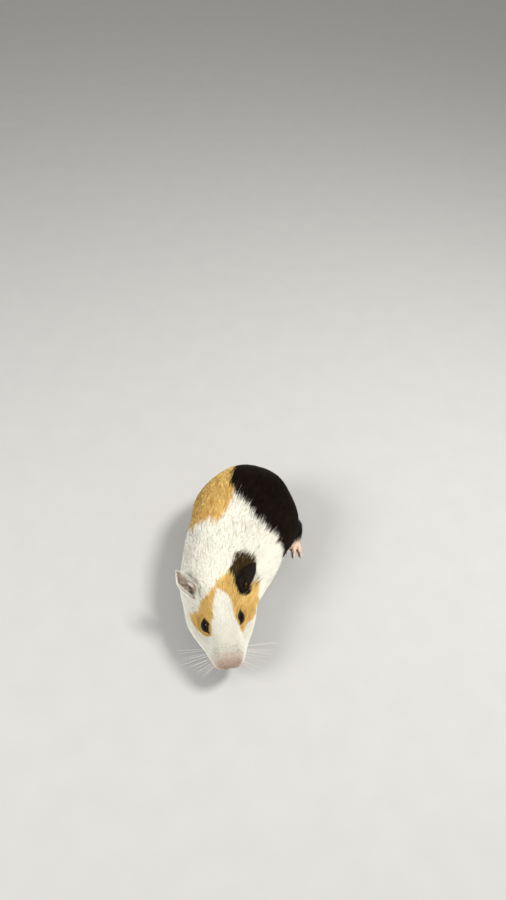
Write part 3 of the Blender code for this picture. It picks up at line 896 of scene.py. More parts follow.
def mark_skin(skin, eyes):
    """Writes the markings, and where the skin is bare or dark, with painted shade in the nostrils and
    along the lip line, on the skin's points.
    """
    points = coordinates(skin.data)
    straight = straighten(points)
    left = straight[:, 0] > 0
    black, tan = markings(points, UNDERFUR_LAG)
    ear, inner, _ = ear_cover(points)
    on_ear = smooth_step(0.02, 0.14, ear) * np.where((inner > 0) | left, 1.0, OUTER_EAR_BARE)
    foot = smooth_step(*BARE_FOOT, points[:, 2] + 0.0006 * waves(points, 0.003, 8))
    foot *= np.abs(round_body(straight)) < SOLE
    lid = np.maximum.reduce([bare_lid(points, eye) for eye in eyes.values()])
    lips = lip_line(straight)
    lip_bare = smooth_step(0.3, 0.7, lips)
    bare = np.maximum.reduce([on_ear, nose_leather(straight), foot, lid, lip_bare])
    by_left_ear = smooth_step(0.0080, 0.0055, ear_root(straight))
    ear_dark = RIGHT_EAR_DARK + EAR_MOTTLE * waves(points, 0.0028, 9)
    ears = np.where(left, np.maximum(on_ear, by_left_ear), on_ear * ear_dark)
    lid_dark = smooth_step(0.0, 0.3, lid)
    # Painted shade: the skin is darkened inside the nostrils and along the line where the lips meet.
    dark = np.maximum.reduce([ears, lid_dark, nostril(straight), LIP_LINE_SHADE * lips])
    layers = {"black": black, "tan": tan, "bare": bare, "blush": blush(straight), "dark": dark}
    for name, values in layers.items():
        float_layer(skin.data, name, values)


# ---------------------------------------------------------------- materials


class Finish:
    """A node material being built: one Principled shader and helpers for what feeds it."""

    def __init__(self, name, **settings):
        self.material = bpy.data.materials.new(name)
        self.material.use_nodes = True
        self.tree = self.material.node_tree
        self.shader = self.tree.nodes["Principled BSDF"]
        for socket, value in settings.items():
            self.shader.inputs[socket.replace("_", " ")].default_value = value

    def node(self, kind, **inputs):
        made = self.tree.nodes.new(kind)
        for socket, value in inputs.items():
            self.feed(made.inputs[socket.replace("_", " ")], value)
        return made

    def feed(self, socket, value):
        if isinstance(value, bpy.types.NodeSocket):
            self.tree.links.new(value, socket)
        elif isinstance(value, tuple) and len(value) == 3 and len(socket.default_value) == 4:
            socket.default_value = (*value, 1)
        else:
            socket.default_value = value

    def layer(self, name):
        read = self.tree.nodes.new("ShaderNodeAttribute")
        read.attribute_name = name
        return read.outputs["Fac"]

    def mix(self, share, low, high):
        made = self.tree.nodes.new("ShaderNodeMix")
        made.data_type = "RGBA"
        for index, value in ((0, share), (6, low), (7, high)):
            self.feed(made.inputs[index], value)
        return made.outputs[2]

    def math(self, operation, first, second):
        made = self.tree.nodes.new("ShaderNodeMath")
        made.operation = operation
        self.feed(made.inputs[0], first)
        self.feed(made.inputs[1], second)
        return made.outputs[0]

    def span(self, value, low, high, to_low=0.0, to_high=1.0):
        made = self.node("ShaderNodeMapRange", Value=value, From_Min=low, From_Max=high)
        made.inputs["To Min"].default_value = to_low
        made.inputs["To Max"].default_value = to_high
        return made.outputs[0]

    def noise(self, scale, detail=3.0, stretch=(1, 1, 1)):
        place = self.tree.nodes.new("ShaderNodeTexCoord").outputs["Object"]
        turned = self.node("ShaderNodeMapping", Vector=place)
        turned.inputs["Scale"].default_value = stretch
        made = self.node("ShaderNodeTexNoise", Vector=turned.outputs[0], Scale=scale, Detail=detail)
        return made.outputs["Fac"]

    def bump(self, height, distance, strength=1.0):
        made = self.node("ShaderNodeBump", Height=height, Distance=distance, Strength=strength)
        self.feed(self.shader.inputs["Normal"], made.outputs[0])

    def colour(self, value):
        self.feed(self.shader.inputs["Base Color"], value)


def skin_finish():
    """Pink or dark skin where it is bare, and where the coat covers it the underfur's colour darkened,
    as painted shade under the coat.
    """
    finish = Finish("skin_finish", Roughness=0.6, Specular_IOR_Level=0.25)
    mottle = finish.noise(900)
    # The white, blushed and tan underfur are darkened copies of the hair's colours: painted shade under
    # the coat.
    pale, pink_white = shade_of(WHITE_HAIR, 0.80), shade_of(BLUSHED_HAIR, 0.85)
    white = finish.mix(finish.layer("blush"), pale, pink_white)
    fur = finish.mix(finish.layer("tan"), white, shade_of(TAN_HAIR, 0.70))
    fur = finish.mix(finish.layer("black"), fur, BLACK_HAIR)
    pink = finish.mix(finish.span(mottle, 0.35, 0.70), PINK_SKIN, PALE_SKIN)
    flesh = finish.mix(finish.layer("dark"), pink, DARK_SKIN)
    finish.colour(finish.mix(finish.layer("bare"), fur, flesh))
    grain = finish.math("ADD", finish.noise(2600), finish.math("MULTIPLY", mottle, 0.7))
    finish.bump(grain, distance=0.00012, strength=0.6)
    return finish.material


def coat_finish():
    """Hair whose colour follows the markings, darker towards its roots as painted shade deep in the
    coat, with each lock's own tone.
    """
    finish = Finish("coat_finish", Roughness=0.55, Specular_IOR_Level=0.07)
    tone, along = finish.layer("tone"), finish.layer("along")
    white = finish.mix(tone, shade_of(WHITE_HAIR, 0.86), WHITE_HAIR)
    # White hair darkened towards its roots: painted shade deep in the coat.
    white = finish.mix(finish.span(along, 0.0, 0.6), shade_of(WHITE_HAIR, 0.78), white)
    white = finish.mix(finish.layer("blush"), white, BLUSHED_HAIR)
    # Tan hair darker at its roots than at its tips: painted shade deep in the coat.
    light_tan = finish.mix(finish.span(along, 0.5, 1.0), TAN_HAIR, LIGHT_TAN_HAIR)
    tan = finish.mix(tone, DARK_TAN_HAIR, light_tan)
    black = finish.mix(finish.math("POWER", tone, 2.0), BLACK_HAIR, BROWN_HAIR)
    coloured = finish.mix(finish.layer("tan"), white, tan)
    finish.colour(finish.mix(finish.layer("black"), coloured, black))
    finish.bump(finish.noise(5200, detail=2.0, stretch=(1, 0.25, 1)), distance=0.00004, strength=0.5)
    return finish.material


def eye_finish():
    """A near-black eye: dark brown iris round a large pupil, under a wet clear surface."""
    wet = {"Coat_Weight": 0.14, "Coat_IOR": 1.34, "Coat_Roughness": 0.04}
    finish = Finish("eye_finish", Roughness=0.22, Specular_IOR_Level=0.05, **wet)
    ring = finish.layer("off_axis")
    iris = finish.mix(finish.noise(1500), IRIS_DARK, IRIS_LIGHT)
    inner = finish.mix(finish.span(ring, 0.50, 0.58), PUPIL, iris)
    finish.colour(finish.mix(finish.span(ring, 0.80, 0.92), inner, EYE_EDGE))
    return finish.material


def lid_finish():
    """The dark rims of the lids, a little lighter in the eye's corners."""
    finish = Finish("lid_finish", Roughness=0.5, Specular_IOR_Level=0.1)
    finish.colour(finish.mix(finish.layer("corner"), LID_BROWN, DARK_SKIN))
    finish.bump(finish.noise(3000), distance=0.00006)
    return finish.material


def claw_finish():
    """Translucent-looking horn, darker and rosier at the root, with fine lengthwise growth lines."""
    finish = Finish("claw_finish", Roughness=0.30, Coat_Weight=0.25)
    horn = finish.mix(finish.layer("along"), CLAW_ROOT, CLAW_TIP)
    finish.colour(finish.mix(finish.span(finish.noise(1400), 0.4, 0.8, 0.0, 0.4), horn, CLAW_DARK))
    finish.bump(finish.noise(2500, detail=2.0, stretch=(1, 0.2, 1)), distance=0.00005)
    return finish.material


def whisker_finish():
    finish = Finish("whisker_finish", Roughness=0.30)
    finish.colour(finish.mix(finish.noise(600), WHISKER_DULL, WHISKER_PALE))
    return finish.material


def floor_finish():
    finish = Finish("floor_finish", Roughness=0.85)
    finish.colour(finish.mix(finish.noise(40), FLOOR_DULL, FLOOR_PALE))
    return finish.material


def shade_of(colour, share):
    return tuple(channel * share for channel in colour)


# ---------------------------------------------------------------- eyes, lids, claws and whiskers


def make_eye(side, eye):
    """An eyeball with a slightly bulging cornea, marked with the distance from its axis."""
    centre, radius, _, _, outward = eye
    axis = Vector(outward)
    bm = bmesh.new()
    bmesh.ops.create_uvsphere(bm, u_segments=48, v_segments=32, radius=radius)
    bmesh.ops.rotate(bm, verts=bm.verts, matrix=axis.to_track_quat("Z", "Y").to_matrix())
    mesh = bpy.data.meshes.new(f"eyeball_{side}")
    for vert in bm.verts:
        way = vert.co.normalized()
        share = max(0, (way.dot(axis) - CORNEA_EDGE) / CORNEA_SPAN)
        vert.co += way * (CORNEA_BULGE * share**0.7)
        vert.co += Vector(centre)
    bm.to_mesh(mesh)
    bm.free()
    mesh.shade_smooth()
    away = unit(coordinates(mesh) - centre) @ outward
    float_layer(mesh, "off_axis", np.sin(np.arccos(np.clip(away, -1, 1))) + (away < 0))
    ball = add_object(mesh.name, mesh)
    finish_piece(ball)
    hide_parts(f"eye_{side}")
    return ball


def tube(name, route, radii, sides):
    """A closed tapered tube along a route, made from a bevelled curve."""
    curve = bpy.data.curves.new(name, "CURVE")
    curve.dimensions = "3D"
    curve.bevel_depth = 1.0
    curve.bevel_resolution = (sides - 4) // 2
    curve.use_fill_caps = True
    spline = curve.splines.new("POLY")
    spline.points.add(len(route) - 1)
    for point, place, radius in zip(spline.points, route, radii):
        point.co = (*place, 1)
        point.radius = radius
    rod = bpy.data.objects.new(name, curve)
    bpy.context.scene.collection.objects.link(rod)
    graph = bpy.context.evaluated_depsgraph_get()
    mesh = bpy.data.meshes.new_from_object(rod.evaluated_get(graph))
    drop(rod)
    bpy.data.curves.remove(curve)
    mesh.shade_smooth()
    return mesh


def joined(name, meshes):
    bm = bmesh.new()
    for mesh in meshes:
        bm.from_mesh(mesh)
        bpy.data.meshes.remove(mesh)
    whole = bpy.data.meshes.new(name)
    bm.to_mesh(whole)
    bm.free()
    whole.shade_smooth()
    return add_object(name, whole)


def make_lids(side, eye):
    """The rims of the upper and lower lid, thickest in the middle."""
    centre, radius, forward, upward, outward = eye
    ahead, back, above, below = EYE_OPENING
    turns = np.linspace(0, math.pi, LID_STEPS)
    along = np.where(np.cos(turns) > 0, ahead, back) * np.cos(turns)
    rims = []
    for height in (above, -below):
        rise = height * (1 - np.abs(np.cos(turns)) ** OPENING_POWER)
        flat = along[:, None] * forward + rise[:, None] * upward
        shell = radius + LID_THICKNESS * 0.6
        depth = np.sqrt(np.maximum(shell**2 - (flat**2).sum(1), 1e-8))
        route = centre + flat + depth[:, None] * outward
        radii = LID_RIM * (0.55 + 0.45 * np.sin(turns))
        rims.append(tube("rim", route, radii, LID_SIDES))
    rim = joined(f"lid_rims_{side}", rims)
    from_middle = np.abs((coordinates(rim.data) - centre) @ forward)
    float_layer(rim.data, "corner", smooth_step(*LID_CORNERS, from_middle))
    finish_piece(rim)
    return rim


def make_claw(node, name):
    """A curved claw along the solid one: root in the toe, tip towards the floor."""
    points = np.unique(np.round(coordinates(node.data), 6), axis=0)
    middle = points.mean(0)
    axis = np.linalg.svd(points - middle)[2][0]
    foot, toe = name.removeprefix("claw_").rsplit("_", 1)
    foot_low, foot_high = (np.array(corner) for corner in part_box(foot))
    if (middle - (foot_low + foot_high) / 2) @ axis < 0:
        axis = -axis
    reach = (points - middle) @ axis
    root, tip = middle + axis * reach.min(), middle + axis * reach.max()
    thick = np.linalg.norm(np.cross(points - middle, axis), axis=1).max()
    shares = np.linspace(CLAW_SUNK, 1, CLAW_STEPS)
    route = root + shares[:, None] * (tip - root)
    route[:, 2] += thick * (0.9 * np.sin(math.pi * np.clip(shares, 0, 1)) - 0.5 * shares**2)
    radii = thick * (1.02 - 0.22 * shares - 0.66 * shares**3)
    route[:, 2] = np.maximum(route[:, 2], radii + 0.0001)
    mesh = tube("horn", route, radii, CLAW_SIDES)
    mesh.name = f"horn_{foot}_{toe}"
    along = (coordinates(mesh) - root) @ (tip - root) / ((tip - root) @ (tip - root))
    float_layer(mesh, "along", np.clip(along, 0, 1))
    claw = add_object(mesh.name, mesh)
    finish_piece(claw)
    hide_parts(name)
    return claw


def whisker_grid():
    """Each whisker of a side: its row, how far back in the row, and its place along Y and up."""
    for row, count in enumerate(WHISKER_ROWS):
        for number in range(count):
            share = (number + 0.5) / count
            y = WHISKER_FRONT + (WHISKER_BACK - WHISKER_FRONT) * share
            y += WHISKER_STRAY[0] * math.sin(7 * row + 3 * number)
            z = WHISKER_TOP - WHISKER_ROW_STEP * row - WHISKER_SLOPE * share
            z += WHISKER_STRAY[1] * math.sin(5 * row + 4 * number)
            yield row, share, y, z


def whisker(surface, start, toward, length, lift, sag, radius, back):
    """One tapered hair from where a line towards the body meets its skin, leaving along that line."""
    found, normal, _, _ = surface.ray_cast(Vector(start), Vector(unit(toward)))
    if found is None:
        return None
    steps = np.linspace(0, 1, WHISKER_STEPS)
    way = unit(-unit(toward) + np.array((0, 0, lift)))
    route = np.array(found) - np.array(normal) * WHISKER_SUNK + steps[:, None] * way * length
    route[:, 1] += back * length * steps**2
    route[:, 2] = np.maximum(route[:, 2] - sag * length * steps**2.2, 0.0006)
    return tube("hair", route, radius * (1 - 0.75 * steps), WHISKER_SIDES)


def make_whiskers(surface):
    """White whiskers in rows from both sides of the muzzle, and a few over each eye."""
    rng = np.random.default_rng(21)
    hairs = []
    for mirror in (-1, 1):
        for row, share, y, z in whisker_grid():
            fan = WHISKER_FAN[0] + WHISKER_FAN[1] * share - LEFT_FAN * (mirror > 0)
            fan = math.radians(fan + rng.uniform(-5, 5))
            away = np.array((math.cos(fan) * mirror, math.sin(fan), 0.0)) * PAD_OUT
            root = bend((PAD_HALF * mirror, y, z))[0]
            start = bend(np.array((PAD_HALF * mirror, y, z)) + away)[0]
            length = WHISKER_LENGTH * (WHISKER_SHARES[0] + WHISKER_SHARES[1] * share)
            length *= rng.uniform(0.8, 1.0)
            lift = WHISKER_LIFT[0] - WHISKER_LIFT[1] * row + rng.uniform(-0.05, 0.05)
            radius = WHISKER_RADIUS * (0.75 + 0.25 * share)
            hairs.append(whisker(surface, start, root - start, length, lift, 0.12, radius, 0.03))
        across, along, up = BROW_ROOT
        for number in range(BROW_COUNT):
            root = bend((across * mirror, along + BROW_STEP * number, up))[0]
            start = root + bend((0.02 * mirror, -0.078, 0.071))[0] - bend((0, -0.088, 0.055))[0]
            length = BROW_WHISKER * (1 - 0.2 * number)
            hairs.append(whisker(surface, start, root - start, length, 0.1, 0.1, BROW_RADIUS, 0.35))
    whiskers = joined("whiskers", [hair for hair in hairs if hair])
    finish_piece(whiskers)
    return whiskers


# ---------------------------------------------------------------- coat


def turned(across, ahead, angle):
    """Two sideways parts of many ways, turned about the upright."""
    cos, sin = np.cos(angle), np.sin(angle)
    return across * cos - ahead * sin, across * sin + ahead * cos


def hair_flow(points, normals, eyes):
    """Which way the coat lies: back, down the sides and legs, and away from nose and eyes."""
    turn, straight = turn_at(points)
    x, y, z = straight.T
    angle = np.abs(round_body(straight))
    flow = np.tile((0.0, 1.0, 0.0), (len(points), 1))
    everywhere, sides, rump = SLOPE_DOWN
    droop = everywhere + sides * smooth_step(30, 95, angle) * smooth_step(-0.085, -0.05, y)
    droop += rump * smooth_step(0.035, 0.060, y)
    flow[:, 2] -= droop * smooth_step(150, 110, angle)
    leg = smooth_step(0.022, 0.012, z) * smooth_step(100, 125, angle)
    down_leg = np.where(y > 0, *LEG_SLANT)[:, None] * (0.0, 1.0, 0.0) + (0.0, 0.0, -1.0)
    flow = mixed(flow, down_leg, leg[:, None])
    foot = smooth_step(0.011, 0.006, z) * smooth_step(100, 120, angle)
    flow = mixed(flow, FOOT_LIE, foot[:, None])
    face = smooth_step(-0.1020, -0.1130, y)
    around = unit(np.stack([x, np.zeros(len(x)), z - NOSE_HEIGHT], 1))
    flow += MUZZLE_SPREAD * face[:, None] * around
    swing = SWING * waves(points, 0.022, 31) * smooth_step(-0.10, -0.06, y)
    flow[:, 0], flow[:, 1] = turned(flow[:, 0], flow[:, 1], swing)
    on_ears = smooth_step(0.0, 0.12, ear_cover(points)[0])
    for side, mirror in SIDES.items():
        upper, lower, tip = (np.array(place) for place in EARS[side])
        on_ear = on_ears * (x * mirror > 0)
        flow = mixed(flow, unit(tip - (upper + lower) / 2), on_ear[:, None])
    flow[:, 0], flow[:, 1] = turned(flow[:, 0], flow[:, 1], turn)
    firmness, reach = EYE_PARTING
    for centre, radius, *_ in eyes.values():
        away = points - centre
        distance = np.linalg.norm(away, axis=1)
        push = firmness * bell(distance, radius, reach)
        flow += push[:, None] * away / distance[:, None]
    flow -= normals * (flow * normals).sum(1)[:, None]
    return unit(flow)


def hair_kind(points, eyes):
    """How many locks grow on a square metre of the skin there, their length, width and height."""
    straight = straighten(points)
    y, z = straight[:, 1], straight[:, 2]
    angle = np.abs(round_body(straight))
    density, length = along_table(LOCKS, 2, y), along_table(COAT, 2, y)
    width, height = along_table(LOCKS, 1, y), coat_depth(points)
    density *= 1 - 0.5 * smooth_step(125, 150, angle) * (y > -0.07)
    kind = np.stack([density, length, width, height])

    low = smooth_step(LEG_TOP * 0.85, FOOT_TOP * 0.8, z) * smooth_step(95, 115, angle) * (y > -0.09)
    foot = smooth_step(FOOT_TOP * 1.2, FOOT_TOP * 0.5, z)
    for row, (on_leg, on_foot) in enumerate(zip(LEG_HAIR, FOOT_HAIR)):
        kind[row] = mixed(kind[row], mixed(on_leg, on_foot, foot), low)
    fore, hind, least = LEG_LIFT
    lift = np.where(y < LEGS_MIDDLE, fore, hind) * (1 - foot) + least
    kind[3] = np.maximum(kind[3], lift)
    kind[1] *= 1 - 0.35 * smooth_step(0.0060, 0.0030, ear_root(straight))

    ear, inner, rim = ear_cover(points)
    on_ear = smooth_step(0.02, 0.12, ear)
    fringe = smooth_step(0.74, 0.98, rim) * np.where(straight[:, 0] > 0, 0.3, 1.0)
    ear_kind = [value + more * fringe for value, more in zip(EAR_HAIR, EAR_FRINGE)]
    bare = BARE_EAR_HAIR[0] + BARE_EAR_HAIR[1] * fringe
    ear_kind[0] = np.where((inner > 0) & (straight[:, 0] < 0), bare, EAR_HAIR[0])
    kind = mixed(kind, np.stack(ear_kind), on_ear)

    for eye in eyes.values():
        distance, opening, _ = in_eye(points, eye)
        near = smooth_step(0.0085, 0.0060, distance)
        kind = mixed(kind, np.array(EYE_HAIR)[:, None], near)
        kind[0] *= (distance > eye[1] + 0.003) | (opening > BARE_LID - LID_BLUR)
        kind[0] *= 1 - bare_lid(points, eye)
    kind[0] *= 1 - nose_leather(straight)
    kind[0] *= z > 0.0012
    return kind


def plant(points, faces, density, rng):
    """Roots spread over the skin's triangles, as many as the density asks for."""
    corners = points[faces]
    sides = corners[:, 1] - corners[:, 0], corners[:, 2] - corners[:, 0]
    area = np.linalg.norm(np.cross(*sides), axis=1) / 2
    reached = np.cumsum(area * density[faces].mean(1))
    count = int(reached[-1])
    spread = (np.arange(count) + rng.uniform(0, 1, count)) * reached[-1] / count
    chosen = np.minimum(np.searchsorted(reached, spread), len(faces) - 1)
    first, second = rng.uniform(0, 1, (2, count))
    over = first + second > 1
    first[over], second[over] = 1 - first[over], 1 - second[over]
    along_first, along_second = (side[chosen] for side in sides)
    return corners[chosen, 0] + first[:, None] * along_first + second[:, None] * along_second


def on_skin(surface, points):
    """The nearest places on the skin, and its normals there."""
    found = [surface.find_nearest(Vector(point))[:2] for point in points]
    return np.array([place for place, _ in found]), np.array([normal for _, normal in found])


def comb(roots, surface, eyes, lengths, turn, shares):
    """Walks from each root along the lie of the coat: places and normals on the skin at each share."""
    places, normals = on_skin(surface, roots)
    walked = [places]
    ups = [normals]
    for before, share in zip(shares, shares[1:]):
        flow = hair_flow(places, normals, eyes)
        across = np.cross(normals, flow)
        flow = flow * np.cos(turn)[:, None] + across * np.sin(turn)[:, None]
        places, normals = on_skin(surface, places + flow * (lengths * (share - before))[:, None])
        walked.append(places)
        ups.append(normals)
    return np.stack(walked, 1), np.stack(ups, 1)


def gather(places, roots, rng, spacing, strength, shares):
    """Draws neighbouring locks together towards their tips, into clumps about a spacing apart."""
    taken = {}
    for index in rng.permutation(len(roots)):
        cell = tuple((roots[index] // spacing[index]).astype(int))
        taken.setdefault(cell, index)
    seeds = list(taken.values())
    tree = tree_of(roots[seeds], seeds)
    leader = np.array([tree.find(Vector(root))[1] for root in roots])
    pull = strength[:, None] * shares[None, :] ** 1.4
    return places + (places[leader] - places) * pull[:, :, None], leader


def lock_pattern(body):
    """The faces of one three-sided lock of so many rings and a tip, as numbers of its points."""
    faces = []
    for ring in range(0, 3 * (body - 1), 3):
        for corner in range(3):
            after = (corner + 1) % 3
            faces.append((ring + corner, ring + after, ring + 3 + after, ring + 3 + corner))
    last = (body - 1) * 3
    faces += [(last + corner, last + (corner + 1) % 3, last + 3) for corner in range(3)]
    return [*faces, (2, 1, 0)]


def lock_piece(name, paths, ups, widths, layers, patches):
    """One mesh of closed tapered locks, each with its colours and its own patch of the map."""
    count, rings = paths.shape[:2]
    body = rings - 1
    along = np.gradient(paths, axis=1)
    side = unit(np.cross(along, ups))
    lift = unit(np.cross(side, along))
    corners = []
    for turn in (90, 210, 330):
        cos, sin = math.cos(math.radians(turn)), math.sin(math.radians(turn))
        offset = side * cos + lift * sin * LOCK_FLATNESS
        corners.append(paths[:, :body] + offset[:, :body] * widths[:, :body, None] * 0.5)
    points = np.concatenate([np.stack(corners, 2).reshape(count, body * 3, 3), paths[:, body:]], 1)
    each = body * 3 + 1
    faces = lock_pattern(body)
    pattern = np.concatenate(faces)
    loops = (pattern[None, :] + np.arange(count)[:, None] * each).ravel()
    ends = np.cumsum(np.tile([len(face) for face in faces], count))
    starts = np.concatenate([[0], ends[:-1]])

    mesh = bpy.data.meshes.new(name)
    mesh.vertices.add(count * each)
    mesh.vertices.foreach_set("co", points.astype(np.float32).ravel())
    mesh.loops.add(len(loops))
    mesh.loops.foreach_set("vertex_index", loops.astype(np.int32))
    mesh.polygons.add(len(starts))
    mesh.polygons.foreach_set("loop_start", starts.astype(np.int32))
    mesh.update(calc_edges=True)
    mesh.shade_smooth()

    shares = np.concatenate([np.repeat(np.linspace(0, 1, rings)[:body], 3), [1.0]])
    across = np.concatenate([np.tile((0.5, 0.0, 1.0), body), [0.5]])
    float_layer(mesh, "along", np.tile(shares, count))
    for layer, values in layers.items():
        float_layer(mesh, layer, np.repeat(values, each))
    places = patches[:, None, :] + (np.stack([across, shares], 1) - 0.5)[None] * BAKE_PATCH
    chart = mesh.uv_layers.new(name="OFBake")
    chart.data.foreach_set("uv", places.reshape(-1, 2)[loops].astype(np.float32).ravel())
    piece = add_object(name, mesh)
    finish_piece(piece)
    return piece


def chart_of(name, roots):
    """Each root's place on an unwrap of the skin under its piece, kept off the map's edges."""
    straight = straighten(roots)
    left = straight[:, 0] > 0
    if name in END_CHARTS:
        height, behind = END_CHARTS[name]
        middle = np.array((0, straight[:, 1].mean(), height))
        way = unit(straight - middle - (0, behind, 0))
        off = np.arccos(np.clip(np.abs(way[:, 1]), -1, 1))
        turn = np.arctan2(way[:, 0], way[:, 2])
        flat = np.stack([off * np.cos(turn), off * np.sin(turn)], 1)
    elif name in ("coat_hindlegs", "coat_forelegs"):
        spots = np.array([straight[left == side].mean(0) for side in (False, True)])
        away = straight - spots[left.astype(int)]
        turn = np.arctan2(away[:, 1], away[:, 0]) / (2 * math.pi) + 0.5
        flat = np.stack([turn + left * 1.05, straight[:, 2] / 0.02], 1)
    elif name == "coat_ears":
        flat = np.stack([straight[:, 1] / 0.03 + left * 1.4, straight[:, 2] / 0.03], 1)
    else:
        flat = np.stack([round_body(straight) / 180, straight[:, 1] / 0.05], 1)
    low, high = flat.min(0), flat.max(0)
    return BAKE_EDGE + (flat - low) / np.maximum(high - low, 1e-9) * (1 - 2 * BAKE_EDGE)


def piece_of(roots):
    """The number of the coat piece that each root belongs to."""
    straight = straighten(roots)
    y, z = straight[:, 1], straight[:, 2]
    hind, fore, ears = (COAT_PIECES.index(f"coat_{part}") for part in ("hindlegs", "forelegs", "ears"))
    band = np.searchsorted([end for _, end in BANDS[:-1]], y)
    legs = (z < LEG_TOP * 0.85) & (np.abs(round_body(straight)) > 105) & (y > -0.075)
    band = np.where(legs, np.where(y > LEGS_MIDDLE, hind, fore), band)
    return np.where(ear_cover(roots)[0] > 0.06, ears, band)


def lock_colours(roots, eyes, rng):
    """How black, how tan, how light and how pink each lock is."""
    straight = straighten(roots)
    black_share, tan_share = markings(roots, 1.0)
    for eye in eyes.values():
        distance, opening, out = in_eye(roots, eye)
        wide, close = EYE_RING_EDGE
        ring = smooth_step(BARE_LID + wide, BARE_LID + close, opening) * (out > 0)
        near = distance < eye[1] + EYE_SURROUND
        black_share = np.maximum(black_share, EYE_RING * ring * near)
    dice = rng.uniform(0.08, 0.92, len(roots))
    black = (black_share > dice).astype(float)
    tan = ((black_share + tan_share > dice) & (black == 0)).astype(float)
    browned = black * (straight[:, 1] < NAPE_END) * smooth_step(0.0050, 0.0150, ear_root(straight))
    browned *= 1 - smooth_step(0.0, 0.1, ear_cover(roots)[0])
    tan = np.maximum(tan, browned)
    black -= BROWNED * browned * rng.uniform(0.0, 1.0, len(roots))
    paler = 0.22 * smooth_step(-0.050, -0.066, straight[:, 1])
    varied = rng.normal(0, 0.25, len(roots)) * (1 + 1.8 * paler)
    tone = np.clip(0.5 + paler + 0.22 * waves(roots, 0.006, 5) + varied, 0, 1)
    return {"black": black, "tan": tan, "tone": tone, "blush": blush(straight)}


def lay_locks(kind, roots, length, width, height, surface, eyes, rng):
    """The routes of one kind of locks over the skin, its ways up, their widths and their clumps."""
    shares, taper = (np.array(values) for values in LOCK_RINGS[kind])
    turn = rng.normal(0, STRAY, len(roots))
    places, ups = comb(roots, surface, eyes, length, turn, shares)
    step, least, most = CLUMP
    spacing = np.clip(length * step, least, most)
    strength = CLUMP_PULL * rng.uniform(0.5, 1.2, len(roots))
    places, leader = gather(places, roots, rng, spacing, strength, shares)
    rise = height[:, None] * (1 - (1 - shares) ** 2.0)[None, :]
    rise = rise * rng.uniform(0.80, 1.08, len(roots))[:, None]
    rise[:, 0] = -ROOT_DEPTH
    paths = places + ups * rise[:, :, None]
    widths = width[:, None] * taper[None, :] * rng.uniform(0.75, 1.2, len(roots))[:, None]
    paths[:, :, 2] = np.maximum(paths[:, :, 2], FLOOR_GAP + widths * 0.3)
    return paths, ups, widths, leader


def make_coat(skin, surface, eyes):
    """Locks planted all over the skin, combed, gathered into clumps and sorted into pieces."""
    rng = np.random.default_rng(7)
    points = coordinates(skin.data)
    share = 1.0
    roots = plant(points, triangles_of(skin.data), hair_kind(points, eyes)[0] * share, rng)
    _, length, width, height = hair_kind(roots, eyes)
    width = width / math.sqrt(share)
    length = length * rng.uniform(0.75, 1.1, len(roots))
    long = length > LONG_LOCK
    colours = lock_colours(roots, eyes, rng)
    number = piece_of(roots)
    pieces = []
    for kind, chosen in (("long", np.nonzero(long)[0]), ("short", np.nonzero(~long)[0])):
        sizes = (length[chosen], width[chosen], height[chosen])
        paths, ups, widths, leader = lay_locks(kind, roots[chosen], *sizes, surface, eyes, rng)
        clump_tone = colours["tone"][chosen] + CLUMP_TONE * np.sin(leader * 12.9898)
        for index, name in enumerate(COAT_PIECES):
            mine = np.nonzero(number[chosen] == index)[0]
            if not len(mine):
                continue
            whole = chosen[mine]
            layers = {layer: values[whole] for layer, values in colours.items()}
            layers["tone"] = np.clip(clump_tone[mine], 0, 1)
            usual = "long" if name in LONG_PIECES else "short"
            label = name if kind == usual else f"{name}_{kind}"
            chart = chart_of(name, roots[whole])
            pieces.append(lock_piece(label, paths[mine], ups[mine], widths[mine], layers, chart))
    return pieces


# ---------------------------------------------------------------- the set


def add_stage():
    bm = bmesh.new()
    bmesh.ops.create_grid(bm, x_segments=1, y_segments=1, size=FLOOR_REACH)
    mesh = bpy.data.meshes.new("floor")
    bm.to_mesh(mesh)
    bm.free()
    floor = add_object("floor", mesh)
    coat_with(floor, floor_finish())


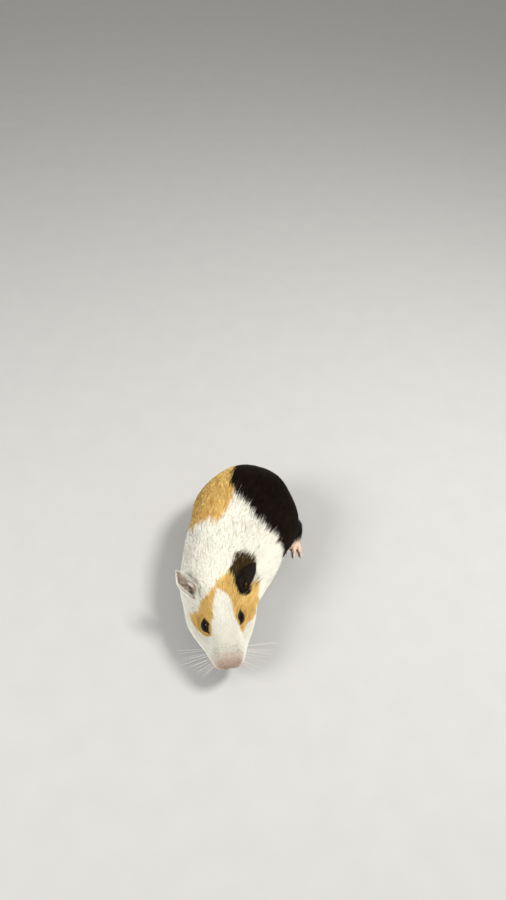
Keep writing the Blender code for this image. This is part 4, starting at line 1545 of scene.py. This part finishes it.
def add_lights():
    """A small warm lamp like a window, a broad one across from it, and a pale studio all round."""
    for name, (place, size, power, colour) in LIGHTS.items():
        lamp = bpy.data.lights.new(name, "AREA")
        lamp.shape = "DISK"
        lamp.size = size
        lamp.energy = power
        lamp.color = colour
        obj = bpy.data.objects.new(name, lamp)
        bpy.context.scene.collection.objects.link(obj)
        obj.location = place
        obj.rotation_euler = (Vector(LIGHTS_AIM) - Vector(place)).to_track_quat("-Z", "Y").to_euler()
    world = bpy.data.worlds.new("studio")
    world.use_nodes = True
    background = world.node_tree.nodes["Background"]
    background.inputs["Color"].default_value = STUDIO_LIGHT
    background.inputs["Strength"].default_value = STUDIO_STRENGTH
    bpy.context.scene.world = world
    bpy.context.scene.view_settings.view_transform = "Standard"


def add_camera():
    """The camera, its upright made square to its view."""
    view = unit(np.array(CAMERA_VIEW))
    right = np.array(CAMERA_RIGHT)
    right = unit(right - view * (right @ view))
    up = np.cross(right, view)
    lens = bpy.data.cameras.new("camera")
    lens.lens = CAMERA_LENS
    lens.sensor_width = CAMERA_SENSOR
    lens.clip_start = CAMERA_NEAR
    camera = bpy.data.objects.new("camera", lens)
    bpy.context.scene.collection.objects.link(camera)
    turn = Matrix((right, up, -view)).transposed().to_4x4()
    camera.matrix_world = Matrix.Translation(CAMERA_PLACE) @ turn
    bpy.context.scene.camera = camera


# ---------------------------------------------------------------- the whole animal

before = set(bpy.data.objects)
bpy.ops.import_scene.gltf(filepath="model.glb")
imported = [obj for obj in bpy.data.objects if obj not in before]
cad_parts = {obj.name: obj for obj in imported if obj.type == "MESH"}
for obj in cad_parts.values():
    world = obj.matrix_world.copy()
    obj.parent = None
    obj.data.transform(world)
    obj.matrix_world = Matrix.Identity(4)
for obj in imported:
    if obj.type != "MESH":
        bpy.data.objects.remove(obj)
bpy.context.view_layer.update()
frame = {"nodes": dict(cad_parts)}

eyes = eye_frames()
skin = make_skin(frame, eyes)
add_ears(skin)
mark_skin(skin, eyes)
coat_with(skin, skin_finish())
finish_piece(skin)
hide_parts(*FLESH, "ear_left", "ear_right")
surface = BVHTree.FromObject(skin, bpy.context.evaluated_depsgraph_get())

glass, rim_skin, horn, hair = eye_finish(), lid_finish(), claw_finish(), whisker_finish()
for side, eye in eyes.items():
    coat_with(make_eye(side, eye), glass)
    coat_with(make_lids(side, eye), rim_skin)
for name, node in frame["nodes"].items():
    if name.startswith("claw_"):
        coat_with(make_claw(node, name), horn)
coat_with(make_whiskers(surface), hair)
fur = coat_finish()
for piece in make_coat(skin, surface, eyes):
    coat_with(piece, fur)

add_stage()
add_lights()
add_camera()
